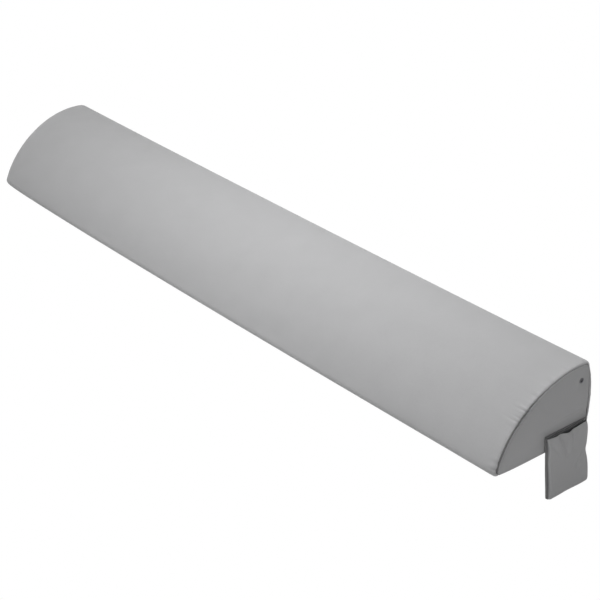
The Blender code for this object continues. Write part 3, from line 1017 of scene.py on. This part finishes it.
class BOLSTER_PG_knit(bpy.types.PropertyGroup):
    knit_colour: colour("Knit colour", (0.36, 0.36, 0.365), "Colour of the cover's cloth")
    knit_sheen: share("Knit sheen", 0.25, "Nap that catches light at the edges")
    knit_relief: metres("Knit relief", 0.00025, "Height of the knit's vees and nap")
    # Scales the painted shade and painted highlight on the knit, inside the pocket and everywhere else.
    painted_shade_scale: number("Reverse", 6.2, "How much darker the cloth is inside the pocket")
    wale: metres("Wale", 0.0011, "Width of one column of vees")
    course: metres("Course", 0.0008, "Height of one row of vees")


class BOLSTER_PG_colours(bpy.types.PropertyGroup):
    thread: colour("Thread", (0.16, 0.16, 0.163), "Sewing thread")
    lining: colour("Lining", (0.80, 0.80, 0.78), "Inner liner")
    foam: colour("Foam", (0.86, 0.82, 0.68), "Foam block")
    zip_tape: colour("Zip tape", (0.22, 0.22, 0.225), "Woven tape of the zip")
    zip_coil: colour("Zip coil", (0.13, 0.13, 0.135), "Nylon teeth of the zip")
    metal: colour("Metal", (0.15, 0.15, 0.16), "Slider, pull, stops and eyelet")
    label: colour("Label", (0.82, 0.82, 0.80), "Care label")


class BOLSTER_PG_seams(bpy.types.PropertyGroup):
    thread_radius: metres("Thread radius", 0.00045, "Radius of the sewing thread")
    stitch: metres("Stitch", 0.003, "Length of one stitch")
    topstitch_in: metres("Topstitch", 0.003, "Distance of the zip's topstitching from the fold")


class BOLSTER_PG_zip(bpy.types.PropertyGroup):
    tooth_pitch: metres("Tooth pitch", 0.0015, "Distance between two teeth")
    wire: metres("Wire radius", 0.00034, "Radius of the coil's nylon wire")
    edge_roll: metres("Metal edge", 0.00018, "Rounding of the metal's edges")


class BOLSTER_PG_pocket(bpy.types.PropertyGroup):
    fullness: metres("Fullness", 0.0102, "How far the front stands off the back")
    rim_gap: metres("Rim gap", 0.0042, "How far the mouth's rim stands off the back")
    rim_sag: metres("Rim sag", 0.0045, "How far the mouth's rim sags")
    edge_radius: metres("Edge radius", 0.0065, "How softly the front turns in at its sides and foot")
    stand_off: metres("Stand-off", 0.0036, "How far the top of the pocket stands off the pillow's end")
    hitch: metres("Hitch", 0.004, "How much shorter the filled pocket hangs than it was cut")
    side_take: metres("Side take", 0.0045, "How much narrower the pocket is than it was cut")
    foot_slant: metres("Foot slant", 0.0018, "How much lower its front corner hangs")
    foot_corner: metres("Foot corner", 0.006, "Radius of its lower corners")
    waist: metres("Waist", 0.0045, "How far the side by the back pulls in")
    dimple: metres("Dimple", 0.0078, "Depth of the main crease below the mouth")
    # Painted shade on the pocket's folded side.
    gusset_shade: share("Gusset shade", 0.75, "How much darker the pocket's folded side is")
    gusset: metres("Gusset", 0.0018, "How far the pocket's sides are folded in")
    ripple: metres("Ripple", 0.0011, "Height of the soft folds in the pocket's cloth")
    # Eases the painted shade inside the pocket along its mouth, as a painted highlight.
    lip_light: share("Lip", 0.18, "How much paler the inside is along the mouth")


class BOLSTER_PG_stage(bpy.types.PropertyGroup):
    camera_place: FloatVectorProperty(
        name="Camera place",
        default=(2.6497, -1.9844, 1.7370),
        description="Where the camera stands",
        unit="LENGTH",
    )
    camera_azimuth: turn("Camera azimuth", 51.264, "Direction of the view, turned from +Y")
    camera_elevation: turn("Camera elevation", 28.118, "How far the view looks down")
    camera_roll: turn("Camera roll", -0.934, "Turn of the camera about its view")
    lens: number("Lens", 95.82, "Focal length in millimetres")
    backdrop: share("Backdrop", 1.0, "Brightness of what is seen round the pillow")
    ambient: number("Ambient", 0.212, "Light from all round")
    wide_light: number("Wide light", 52.0, "Power of the broad light above the front, in watts")
    top_light: number("Top light", 8.9, "Power of the small light above the middle, in watts")
    side_light: number("Side light", 4.95, "Power of the light beside the near end, in watts")
    back_light: number("Back light", 4.1, "Power of the light behind the top, in watts")
    floor_drop: metres("Floor drop", 0.012, "Room between the pocket and the floor")


# Operators


def in_scene(name):
    return getattr(bpy.context.scene, name)


class BOLSTER_OT_stage(bpy.types.Operator):
    """Sets up the camera, the soft studio light and the pale floor"""

    bl_idname = "bolster.stage"
    bl_label = "Stage"

    def execute(self, context):
        s = in_scene("bolster_stage")
        self.camera(s)
        self.world(s)
        self.floor(s)
        self.area("wide_light", s.wide_light, (3.0, 2.0), (0.0, -1.0, 2.4), (0.0, 0.0, 0.05))
        self.area("top_light", s.top_light, (1.2, 0.8), (0.1, -0.2, 1.3), (0.1, 0.0, 0.1))
        self.area("side_light", s.side_light, (1.0, 1.0), (2.4, -0.4, 0.7), (0.9, 0.0, 0.05))
        self.area("back_light", s.back_light, (1.6, 0.8), (0.1, 1.1, 1.0), (0.1, 0.0, 0.1))
        context.scene.view_settings.view_transform = "Standard"
        return {"FINISHED"}

    def camera(self, s):
        data = bpy.data.cameras.new("camera")
        data.lens = s.lens
        camera = bpy.data.objects.new("camera", data)
        bpy.context.scene.collection.objects.link(camera)
        turned = (
            Matrix.Rotation(s.camera_azimuth, 4, "Z")
            @ Matrix.Rotation(pi / 2 - s.camera_elevation, 4, "X")
            @ Matrix.Rotation(s.camera_roll, 4, "Z")
        )
        camera.matrix_world = Matrix.Translation(s.camera_place) @ turned
        bpy.context.scene.camera = camera

    def world(self, s):
        world = bpy.data.worlds.new("studio")
        world.use_nodes = True
        tree = world.node_tree
        tree.nodes.clear()
        seen, around = (tree.nodes.new("ShaderNodeBackground") for _ in range(2))
        seen.inputs["Strength"].default_value = s.backdrop
        seen.inputs["Color"].default_value = (1.0, 1.0, 1.0, 1.0)
        around.inputs["Strength"].default_value = s.ambient
        around.inputs["Color"].default_value = (1.0, 1.0, 1.0, 1.0)
        path = tree.nodes.new("ShaderNodeLightPath")
        mix = tree.nodes.new("ShaderNodeMixShader")
        out = tree.nodes.new("ShaderNodeOutputWorld")
        tree.links.new(path.outputs["Is Camera Ray"], mix.inputs[0])
        tree.links.new(around.outputs[0], mix.inputs[1])
        tree.links.new(seen.outputs[0], mix.inputs[2])
        tree.links.new(mix.outputs[0], out.inputs["Surface"])
        bpy.context.scene.world = world

    def floor(self, s):
        """A pale floor that is seen as bright as the backdrop, and that bounces light like paper."""
        low = CAD_BOX[0].z - s.floor_drop
        mesh = bpy.data.meshes.new("floor")
        reach = 12.0
        corners = [(-reach, -reach, low), (reach, -reach, low), (reach, reach, low), (-reach, reach, low)]
        mesh.from_pydata(corners, [], [(0, 1, 2, 3)])
        made = Finish("pale_floor", (0.8, 0.8, 0.8), roughness=0.9)
        glow = made.add("ShaderNodeEmission", None, {"Strength": s.backdrop})
        seen = made.add("ShaderNodeLightPath", output="Is Camera Ray")
        plain = Strand(made, made.shader.outputs[0])
        mixed = made.add("ShaderNodeMixShader", None, {0: seen, 1: plain, 2: glow})
        output = made.tree.nodes["Material Output"]
        made.put(output.inputs["Surface"], mixed)
        mesh.materials.append(made.material)
        floor = bpy.data.objects.new("floor", mesh)
        bpy.context.scene.collection.objects.link(floor)

    def area(self, name, power, size, place, target):
        data = bpy.data.lights.new(name, "AREA")
        data.shape = "RECTANGLE"
        data.size, data.size_y = size
        data.energy = power
        light = bpy.data.objects.new(name, data)
        light.location = place
        light.rotation_euler = (Vector(target) - Vector(place)).to_track_quat("-Z", "Y").to_euler()
        bpy.context.scene.collection.objects.link(light)


class BOLSTER_OT_cover(bpy.types.Operator):
    """Lays the six cloth panels round the filling"""

    bl_idname = "bolster.cover"
    bl_label = "Cover"

    # The zip stops this far from an end, and its gap closes over this length.
    CLOSED_FROM = 0.018
    CLOSED_OVER = 0.010

    def execute(self, context):
        made, s = cover(), in_scene("bolster_cover")
        line = made.outline
        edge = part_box("back_panel_upper")[0].z - box_middle("zip_slider").z
        panels = {
            "crown_cloth": ("crown_panel", 0.0, line.front, "both", 0.0028),
            "base_cloth": ("base_panel", line.front, line.heel, "both", 0.009),
            "back_cloth_lower": ("back_panel_lower", line.heel, line.zip - edge, "start", 0.004),
            "back_cloth_upper": ("back_panel_upper", line.zip + edge, line.length, "end", 0.004),
        }
        reach = made.half - s.seam_gap
        x = graded(-reach, reach, 0.0007, 0.009, 0.06)
        for name, (node, low, high, fine_at, coarse) in panels.items():
            low += s.seam_gap * (fine_at != "end")
            high -= s.seam_gap * (fine_at != "start")
            around = graded(low, high, 0.0006, coarse, 0.12, fine_at)
            points = made.wall(x, around)
            if "back" in name:
                self.close(points, x, abs(around - line.zip), edge, s)
            faces = grid_faces(len(x), len(around))
            # wall_shade gives each panel its painted shade and painted highlight.
            self.panel(name, node, points, faces, on_cloth(x, around), s, made.wall_shade(x, around))
        for where, side in (("near", 1), ("far", -1)):
            self.end("end_cloth_" + where, "end_panel_" + where, side, made, s)
        return {"FINISHED"}

    def close(self, points, x, away, edge, s):
        """Draws the edges beside the zip together where it stops short of the ends."""
        beyond = ((abs(x) - (cover().half - self.CLOSED_FROM)) / self.CLOSED_OVER).clip(0, 1)
        beyond = beyond * beyond * (3 - 2 * beyond)
        drawn = (edge - 0.25 * s.seam_gap) * beyond[:, None] * np.exp(-(away - edge) / self.CLOSED_OVER)
        middle = box_middle("zip_slider").z
        points[..., 2] += np.sign(middle - points[..., 2]) * drawn

    def panel(self, name, node, points, faces, cloth, s, inside):
        """One cloth panel of the cover."""
        piece = make_piece(name, points, faces, finish("cover_knit"), cloth, inside)
        thicken(piece, s.cloth_thickness)
        settle(piece, "cover_knit", "cushion", node)
        return piece

    def end(self, name, node, side, made, s):
        """The panel of one end, in rings from its seam to its middle."""
        line = made.outline
        around = np.linspace(0, line.length, 300, endpoint=False)
        q = graded(0.0, 1.0, 0.009, 0.06, 0.10, "start")
        q[0] = 0.004
        points = made.end(side, q[:-1], around)
        middle = made.end(side, q[-1:], around[:1])[:, :1]
        faces = disc_faces(*points.shape[:2], side)
        flat = np.concatenate([points.reshape(-1, 3), middle.reshape(-1, 3)])
        # Painted shade on the end beside its seam, and none at its middle.
        shade = made.end_shade(q[:-1], around)
        piece = self.panel(name, node, flat, faces, flat[:, 1:].copy(), s, np.append(shade, 0.0))
        if side > 0:
            self.hole(piece, box_middle("vent_eyelet"))

    def hole(self, piece, centre):
        """Cuts the eyelet's hole through the cloth."""
        shape = bmesh.new()
        place = Matrix.Translation(centre) @ Matrix.Rotation(pi / 2, 4, "Y")
        size = {"radius1": EYELET_HOLE, "radius2": EYELET_HOLE, "depth": 0.02, "segments": 32}
        bmesh.ops.create_cone(shape, cap_ends=True, matrix=place, **size)
        mesh = bpy.data.meshes.new("eyelet_punch")
        shape.to_mesh(mesh)
        shape.free()
        tool = bpy.data.objects.new("eyelet_punch", mesh)
        bpy.context.scene.collection.objects.link(tool)
        cut = piece.modifiers.new("Eyelet hole", "BOOLEAN")
        cut.object = tool
        shown = piece.evaluated_get(bpy.context.evaluated_depsgraph_get())
        piece.modifiers.clear()
        old = piece.data
        piece.data = bpy.data.meshes.new_from_object(shown)
        bpy.data.meshes.remove(old)
        bpy.data.objects.remove(tool)


class BOLSTER_OT_seams(bpy.types.Operator):
    """Sews the panels together with rows of stitches"""

    bl_idname = "bolster.seams"
    bl_label = "Seams"

    def execute(self, context):
        made, s = cover(), in_scene("bolster_seams")
        line = made.outline
        x = np.linspace(-made.half + 0.002, made.half - 0.002, 400)
        for name, node, place in (
            ("top_stitching", "top_seam", 0.0),
            ("front_stitching", "front_seam", line.front),
            ("heel_stitching", "heel_seam", line.heel),
        ):
            route = made.wall(x, np.array([place]))[:, 0]
            self.sew(name, node, route, s)
        around = np.linspace(0, line.length, 500, endpoint=False)
        for where, side in (("near", 1), ("far", -1)):
            route = made.end(side, np.array([0.0]), around)[0]
            self.sew("end_stitching_" + where, "end_seam_" + where, route, s, closed=True)
        return {"FINISHED"}

    def sew(self, name, node, route, s, closed=False):
        piece = sewn_line(name, route, s.thread_radius, s.stitch, finish("thread"), closed)
        settle(piece, "thread", "cushion", node)


class BOLSTER_OT_pocket(bpy.types.Operator):
    """Hangs the side pocket from its seam on the near end"""

    bl_idname = "bolster.pocket"
    bl_label = "Pocket"

    def execute(self, context):
        self.s = in_scene("bolster_pocket")
        self.thickness = in_scene("bolster_cover").cloth_thickness
        swing = next(joint for joint in frame["joints"] if joint["name"] == "pocket_swing")
        self.hinge = Vector(swing["pos_m"])
        low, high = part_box("pocket_back")
        self.lean = atan2(high.x - self.hinge.x, self.hinge.z - low.z)
        self.side = (high.y - low.y) / 2
        self.drop = (self.hinge.z - low.z) / cos(self.lean) - self.s.hitch
        self.back()
        self.front()
        self.stitching()
        return {"FINISHED"}

    def place(self, u, v, w):
        """u across, v down the pocket and w off the pillow's end, as a point of the pillow."""
        points = np.empty((*np.broadcast(u, v, w).shape, 3))
        points[..., 0] = self.hinge.x + v * sin(self.lean) + w * cos(self.lean)
        points[..., 1] = self.hinge.y + u
        points[..., 2] = self.hinge.z - v * cos(self.lean) + w * sin(self.lean)
        return points

    def across(self, u, v):
        """How far across a place lies: the side by the back is drawn in at a waist, and the lower corners
        are rounded, that one more."""
        s, down = self.s, v / self.drop
        drawn = s.side_take * np.where(u > 0, 0.55, 1.0)
        drawn = drawn + (u > 0) * s.waist * np.exp(-(((down - 0.47) / 0.22) ** 2))
        corner = s.foot_corner * np.where(u > 0, 2.0, 1.0)
        turned = ((down - 1) * self.drop / corner + 1).clip(0, 1)
        drawn = drawn + corner * (1 - np.sqrt(1 - turned**2))
        return u * (self.side - drawn)

    def stand_off(self, u, v):
        """How far the back stands off the pillow's end."""
        return 0.0012 + self.s.stand_off * (0.75 - 0.25 * u) * np.exp(-((v / 0.03) ** 2))

    def sheet(self, name, node, u, v, w, down, rests_on, fold=0.0):
        """A cloth with painted shade on the side that faces into the pocket, eased just below the mouth,
        and thin at its lower corners. fold is painted shade on its outer side.
        """
        outer = self.place(u, v, w)
        along, around = np.gradient(outer, axis=0), np.gradient(outer, axis=1)
        normals = unit(np.cross(around, along))
        corner = (abs(u) / abs(u).max(1, keepdims=True)) ** 12 * (v / v.max()) ** 24
        wall = self.thickness * (1 - 0.9 * corner[..., None]) * (-1 if node == "pocket_back" else 1)
        inward = outer + normals * wall
        points = np.concatenate([outer.reshape(-1, 3), inward.reshape(-1, 3)])
        rows, columns = outer.shape[:2]
        size = rows * columns
        quads = grid_faces(rows, columns)
        faces = quads.tolist() + (quads[:, ::-1] + size).tolist()
        top, left = np.arange(columns), np.arange(rows) * columns
        rim = np.concatenate([top, left[1:] + columns - 1, top[::-1][1:] + left[-1], left[::-1][1:-1]])
        faces += [[j, i, i + size, j + size] for i, j in zip(rim, np.roll(rim, -1))]
        if node == "pocket_front":
            faces = [face[::-1] for face in faces]
        flat = np.stack(np.broadcast_arrays(u, v), -1).reshape(-1, 2)
        # Painted shade inside the pocket, eased by a painted highlight just below the mouth.
        inner_shade = 1 - self.s.lip_light * np.exp(-((down / 0.0025) ** 2))
        inside = np.stack([np.broadcast_to(fold, outer.shape[:2]), inner_shade])
        cloth = np.concatenate([flat, flat])
        piece = make_piece(name, points, faces, finish("cover_knit"), cloth, inside)
        settle(piece, "cover_knit", "pocket", node)

    def back(self):
        """The flat cloth that lies against the pillow's end."""
        s = self.s
        u = np.linspace(-1, 1, 70)[None, :]
        v = graded(0.0003, self.drop, 0.0008, 0.004, 0.1, "start")[:, None]
        sway = s.ripple * 0.5 * uneven(v[:, 0], u[0] * self.side, 0.035, 5)
        w = self.stand_off(u, v) + sway * (v / self.drop).clip(0, 1)
        lip = 0.0007 * (1 + np.sin(u * 7 + 1)) * np.exp(-v / 0.01)
        across, down = self.across(u, v), v + 0 * u
        self.sheet("pocket_back_cloth", "pocket_back", across, v + lip, w, down, ["end_cloth_near"])

    def front(self):
        """The full cloth in front, with its sagging rim, its folded side with painted shade on it, and its
        creases.
        """
        s = self.s
        corner = 1 - np.cos(np.linspace(0, pi / 2, 14))
        edge = s.edge_radius / self.side
        middle = np.linspace(-1 + edge, 1 - edge, 110)[1:-1]
        u = np.concatenate([-1 + edge * corner, middle, 1 - edge * corner[::-1]])[None, :]
        foot = s.edge_radius / self.drop
        upper = np.linspace(0, 1 - foot, 110)[:-1]
        t = np.concatenate([upper, 1 - foot * corner[::-1]])[:, None]
        side = np.sqrt(1 - (((abs(u) - 1) / edge + 1).clip(0) ** 2)).clip(0)
        base = np.sqrt(1 - (((t - 1) / foot + 1).clip(0) ** 2)).clip(0)
        rim = s.rim_sag * np.exp(-(((u - 0.12) / 0.55) ** 2)) + 0.0003
        v = t * self.drop + rim * (1 - t) ** 4 + s.foot_slant * (-u).clip(0) * t**2
        swell = s.rim_gap + (s.fullness - s.rim_gap) * (1 - np.exp(-v.clip(0) / 0.012))
        belly = 1 + 0.12 * np.sin(pi * t) - 0.10 * u**2 * t
        w = self.stand_off(-1, v) * 0.6 + 0.0006 + swell * belly * side * base
        ripples = s.ripple * uneven(t[:, 0] * self.drop, u[0] * self.side, 0.028, 8)
        w = w + ripples * side * base
        tucked = s.gusset * np.sin(pi * side.clip(0, 1)) * (side < 1) * np.minimum(1, base * 3)
        # Painted shade on the folded side where u is below zero.
        fold = s.gusset_shade * (3 * side).clip(0, 1) * (2.2 - 3 * side).clip(0, 1) * (u < 0)
        for crease in (
            self.crease(u, t, (-0.30, 0.0), (-0.10, 0.34), 0.075, s.dimple),
            self.crease(u, t, (0.02, 0.0), (0.06, 0.30), 0.070, -0.45 * s.dimple),
            self.crease(u, t, (0.30, 0.0), (0.22, 0.14), 0.050, 0.35 * s.dimple),
            self.crease(u, t, (-0.95, 0.02), (-0.52, 0.26), 0.060, 0.4 * s.dimple),
            self.crease(u, t, (0.92, 0.46), (0.45, 0.62), 0.080, 0.35 * s.dimple),
        ):
            w = w - crease * side * base
        down = v + 0 * u
        across = self.across(u, v) - np.sign(u) * tucked
        self.sheet("pocket_front_cloth", "pocket_front", across, v, w, down, ["pocket_back_cloth"], fold)

    def crease(self, u, t, start, end, width, depth):
        """A soft fold from one place to another; a negative depth makes a ridge."""
        x, y = u * self.side / self.drop, t
        (x0, y0), (x1, y1) = ((a * self.side / self.drop, b) for a, b in (start, end))
        length2 = (x1 - x0) ** 2 + (y1 - y0) ** 2
        along = (((x - x0) * (x1 - x0) + (y - y0) * (y1 - y0)) / length2).clip(0, 1)
        away = np.hypot(x - x0 - along * (x1 - x0), y - y0 - along * (y1 - y0))
        fade = (1 - 0.6 * along) * (0.4 + 0.6 * (1 - np.exp(-t / 0.05)))
        return depth * np.exp(-((away / (width * (1 - 0.35 * along))) ** 2)) * fade

    def stitching(self):
        """The stitches round the pocket, and those that it hangs by."""
        seams = in_scene("bolster_seams")
        size = (seams.thread_radius, seams.stitch)
        foot_row = 0.978
        along = np.linspace(0.04, foot_row - 0.003, 60)
        over = np.linspace(-0.98, 0.98, 60)
        u = np.concatenate([-np.ones(60), over, np.ones(60)])
        v = np.concatenate([along, np.full(60, foot_row), along[::-1]]) * self.drop
        route = self.place(self.across(u, v) * 0.997, v, self.stand_off(u, v) + self.thickness + 0.0002)
        piece = sewn_line("pocket_edge_stitching", route, *size, finish("thread"))
        settle(piece, "thread", "pocket", "pocket_edge_seam")
        route = self.place(self.across(over, 0 * over), -0.0016, np.full(60, 0.0010))
        # This thread is drawn thicker than the other stitching, so that its dark row also stands for a
        # painted shadow line along the top of the pocket.
        thread_and_shadow_radius, short = 2.4 * seams.thread_radius, 0.0022
        piece = sewn_line("pocket_top_stitching", route, thread_and_shadow_radius, short, finish("thread"), sunk=0.6)
        settle(piece, "thread", "cushion", "pocket_top_seam")


class BOLSTER_OT_zip(bpy.types.Operator):
    """Fits the zip: tapes, teeth, stops, slider, pull and topstitching"""

    bl_idname = "bolster.zip"
    bl_label = "Zip"

    def execute(self, context):
        s = in_scene("bolster_zip")
        for side in ("upper", "lower"):
            self.tape(side)
            self.teeth(side, s)
            self.topstitch(side)
        for part in ("slider", "pull", "top_stop_upper", "top_stop_lower", "bottom_stop"):
            edge = plate("zip_" + part).modifiers.new("Edges", "BEVEL")
            edge.width = s.edge_roll
            edge.segments = 2
            edge.limit_method = "ANGLE"
            edge.use_clamp_overlap = True
        return {"FINISHED"}

    def tape(self, side):
        """One half's woven tape."""
        low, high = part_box("zip_tape_" + side)
        x = np.linspace(low.x, high.x, 240)
        z = np.linspace(low.z, high.z, 8)
        y = np.full((len(x), len(z)), high.y)
        y += 0.00012 * uneven(x, z, 0.02, 3)
        points = np.stack(np.broadcast_arrays(x[:, None], y, z[None, :]), -1)
        faces = grid_faces(len(x), len(z))
        piece = make_piece("zip_webbing_" + side, points, faces, finish("zip_tape"), on_cloth(x, z))
        thicken(piece, high.y - low.y)
        settle(piece, "zip_tape", "cushion", "zip_tape_" + side)

    def teeth(self, side, s):
        """One run of nylon wire that loops round the tape's edge once for each tooth."""
        low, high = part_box("zip_coil_" + side)
        way = 1 if side == "upper" else -1
        middle = (low + high) / 2
        turns = int((high.x - low.x) / s.tooth_pitch)
        per_turn = 10
        t = np.arange(turns * per_turn + 1) / per_turn
        wide, deep = (high.z - low.z) / 2 - s.wire, (high.y - low.y) / 2 - s.wire
        angle = 2 * pi * t
        line = np.stack(
            [
                low.x + s.tooth_pitch * (t + 0.08 * np.sin(2 * angle)),
                middle.y + deep * np.sin(angle),
                middle.z + way * wide * np.cos(angle),
            ],
            1,
        )
        sides = 5
        shell = tube(line, s.wire, sides, (1.0, 0.0, 0.0))
        piece = make_piece("zip_teeth_" + side, shell, tube_faces(len(line), sides), finish("zip_coil"))
        settle(piece, "zip_coil", "cushion", "zip_coil_" + side)

    def topstitch(self, side):
        """The row of stitches beside the fold of the back's strip."""
        made, seams = cover(), in_scene("bolster_seams")
        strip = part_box("back_panel_" + side)
        fold = strip[0].z if side == "upper" else strip[1].z
        reach = abs(fold - box_middle("zip_slider").z) + seams.topstitch_in
        place = made.outline.zip + (reach if side == "upper" else -reach)
        x = np.linspace(-made.half + ZIP_END_ROOM, made.half - ZIP_END_ROOM, 300)
        route = made.wall(x, np.array([place]))[:, 0]
        route[:, 1] += 0.3 * seams.thread_radius
        size = (seams.thread_radius, seams.stitch)
        piece = sewn_line("zip_topstitch_" + side, route, *size, finish("thread"), sunk=0.0)
        settle(piece, "thread", "cushion")


class BOLSTER_OT_eyelet(bpy.types.Operator):
    """Finishes the vent eyelet and its washer"""

    bl_idname = "bolster.eyelet"
    bl_label = "Vent eyelet"

    def execute(self, context):
        for node in ("vent_eyelet", "vent_washer"):
            plate(node)
        return {"FINISHED"}


class BOLSTER_OT_label(bpy.types.Operator):
    """Sews the blank care label to the lower strip of the back"""

    bl_idname = "bolster.label"
    bl_label = "Care label"

    def execute(self, context):
        low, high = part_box("care_label")
        made = cover()
        line = made.outline
        x = np.linspace(low.x, high.x, 40)
        place = np.linspace(low.z, high.z, 24)
        s = line.heel + np.interp(place, *self.heights(line))
        points = made.wall(x, s)
        lifted = (1 - (place - low.z) / (high.z - low.z)) ** 2
        curl = 0.0009 + 0.0022 * lifted[None, :] * (0.4 + 0.6 * np.linspace(0, 1, len(x))[:, None] ** 2)
        points[..., 1] += curl
        faces = grid_faces(len(x), len(place))
        piece = make_piece("care_label_tape", points, faces, finish("label"), on_cloth(x, place))
        thicken(piece, LABEL_THICKNESS)
        settle(piece, "label", "cushion", "care_label")
        return {"FINISHED"}

    def heights(self, line):
        """Heights on the lower back, with their distances from the heel."""
        away = np.linspace(0, line.zip - line.heel, 60)
        places, _ = line.at(line.heel + away)
        return places[:, 1], away


class BOLSTER_OT_filling(bpy.types.Operator):
    """Makes the foam block and the liner round it"""

    bl_idname = "bolster.filling"
    bl_label = "Filling"

    def execute(self, context):
        made, s = cover(), in_scene("bolster_cover")
        line = made.outline
        around = np.linspace(0, line.length, 200, endpoint=False)
        self.shell("foam_block", "foam", "foam_core", made, around, FOAM_INSET, closed=True)
        self.shell("inner_liner", "lining", "liner_sleeve", made, around, LINER_INSET)
        for where, side in (("near", 1), ("far", -1)):
            self.cap("liner_cap_" + where, "liner_end_" + where, side, made, around)
        return {"FINISHED"}

    def ring(self, made, around, inset, x):
        """The outline this far in, at one place along the pillow."""
        places, normals = made.outline.at(around)
        points = np.empty((len(around), 3))
        points[:, 0] = x
        points[:, 1:] = places - normals * inset
        return points

    def shell(self, name, slot, node, made, around, inset, closed=False):
        """The foam block, closed at its ends, or the open sleeve of the liner."""
        reach = made.half - inset
        x = graded(-reach, reach, 0.004, 0.03, 0.1)
        d = made.half - inset - abs(x)
        soft = 0.004 * np.exp(-d / 0.003)
        points = np.stack([self.ring(made, around, inset + e, place) for e, place in zip(soft, x)])
        points = made.slump(points)
        rows, columns = points.shape[:2]
        faces = grid_faces(rows, columns, closed=True).tolist()
        if closed:
            last = (rows - 1) * columns
            faces += [list(range(columns))[::-1], [last + j for j in range(columns)]]
        piece = make_piece(name, points, faces, finish(slot), on_cloth(x, around))
        if not closed:
            thicken(piece, LINER_THICKNESS)
        settle(piece, slot, "cushion", node)

    def cap(self, name, node, side, made, around):
        """An end of the liner. The near one stands out behind the eyelet's washer."""
        inset = LINER_INSET
        q = np.linspace(0, 1, 40)[:-1]
        x = side * (made.half - inset + 0.0005)
        outer = self.ring(made, around, inset + 0.002, x)
        middle = np.array([x, *made.middle])
        points = outer + (middle - outer) * q[:, None, None]
        points = made.slump(np.concatenate([points.reshape(-1, 3), middle[None]]))
        if side > 0:
            vent = box_middle("vent_washer")
            away = np.hypot(points[:, 1] - vent.y, points[:, 2] - vent.z)
            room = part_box("vent_washer")[0].x - 0.0007 - points[:, 0]
            points[:, 0] += room.clip(0) * np.exp(-((away / 0.02) ** 4))
        faces = disc_faces(len(q), len(around), side)
        piece = make_piece(name, points, faces, finish("lining"), points[:, 1:].copy())
        thicken(piece, LINER_THICKNESS)
        settle(piece, "lining", "cushion", node)


class BOLSTER_PT_dressing(bpy.types.Panel):
    """Lists the steps that dress the pillow"""

    bl_idname = "BOLSTER_PT_dressing"
    bl_label = "Bolster"
    bl_space_type = "VIEW_3D"
    bl_region_type = "UI"
    bl_category = "Bolster"

    def draw(self, context):
        for step in STEPS:
            self.layout.operator(step.bl_idname)
        for name in SETTINGS:
            block = self.layout.box()
            group = getattr(context.scene, name)
            for setting in group.bl_rna.properties:
                if setting.identifier not in ("rna_type", "name"):
                    block.prop(group, setting.identifier)


SETTINGS = {
    "bolster_cover": BOLSTER_PG_cover,
    "bolster_knit": BOLSTER_PG_knit,
    "bolster_colours": BOLSTER_PG_colours,
    "bolster_seams": BOLSTER_PG_seams,
    "bolster_zip": BOLSTER_PG_zip,
    "bolster_pocket": BOLSTER_PG_pocket,
    "bolster_stage": BOLSTER_PG_stage,
}
STEPS = (
    BOLSTER_OT_stage,
    BOLSTER_OT_filling,
    BOLSTER_OT_cover,
    BOLSTER_OT_seams,
    BOLSTER_OT_zip,
    BOLSTER_OT_pocket,
    BOLSTER_OT_eyelet,
    BOLSTER_OT_label,
)


def register():
    for kind in (*SETTINGS.values(), *STEPS, BOLSTER_PT_dressing):
        bpy.utils.register_class(kind)
    for name, kind in SETTINGS.items():
        setattr(bpy.types.Scene, name, PointerProperty(type=kind))


def unregister():
    for name in SETTINGS:
        delattr(bpy.types.Scene, name)
    for kind in reversed((*SETTINGS.values(), *STEPS, BOLSTER_PT_dressing)):
        bpy.utils.unregister_class(kind)


def main():
    register()
    for step in STEPS:
        getattr(bpy.ops.bolster, step.bl_idname.split(".")[1])()


if __name__ == "__main__":
    main()
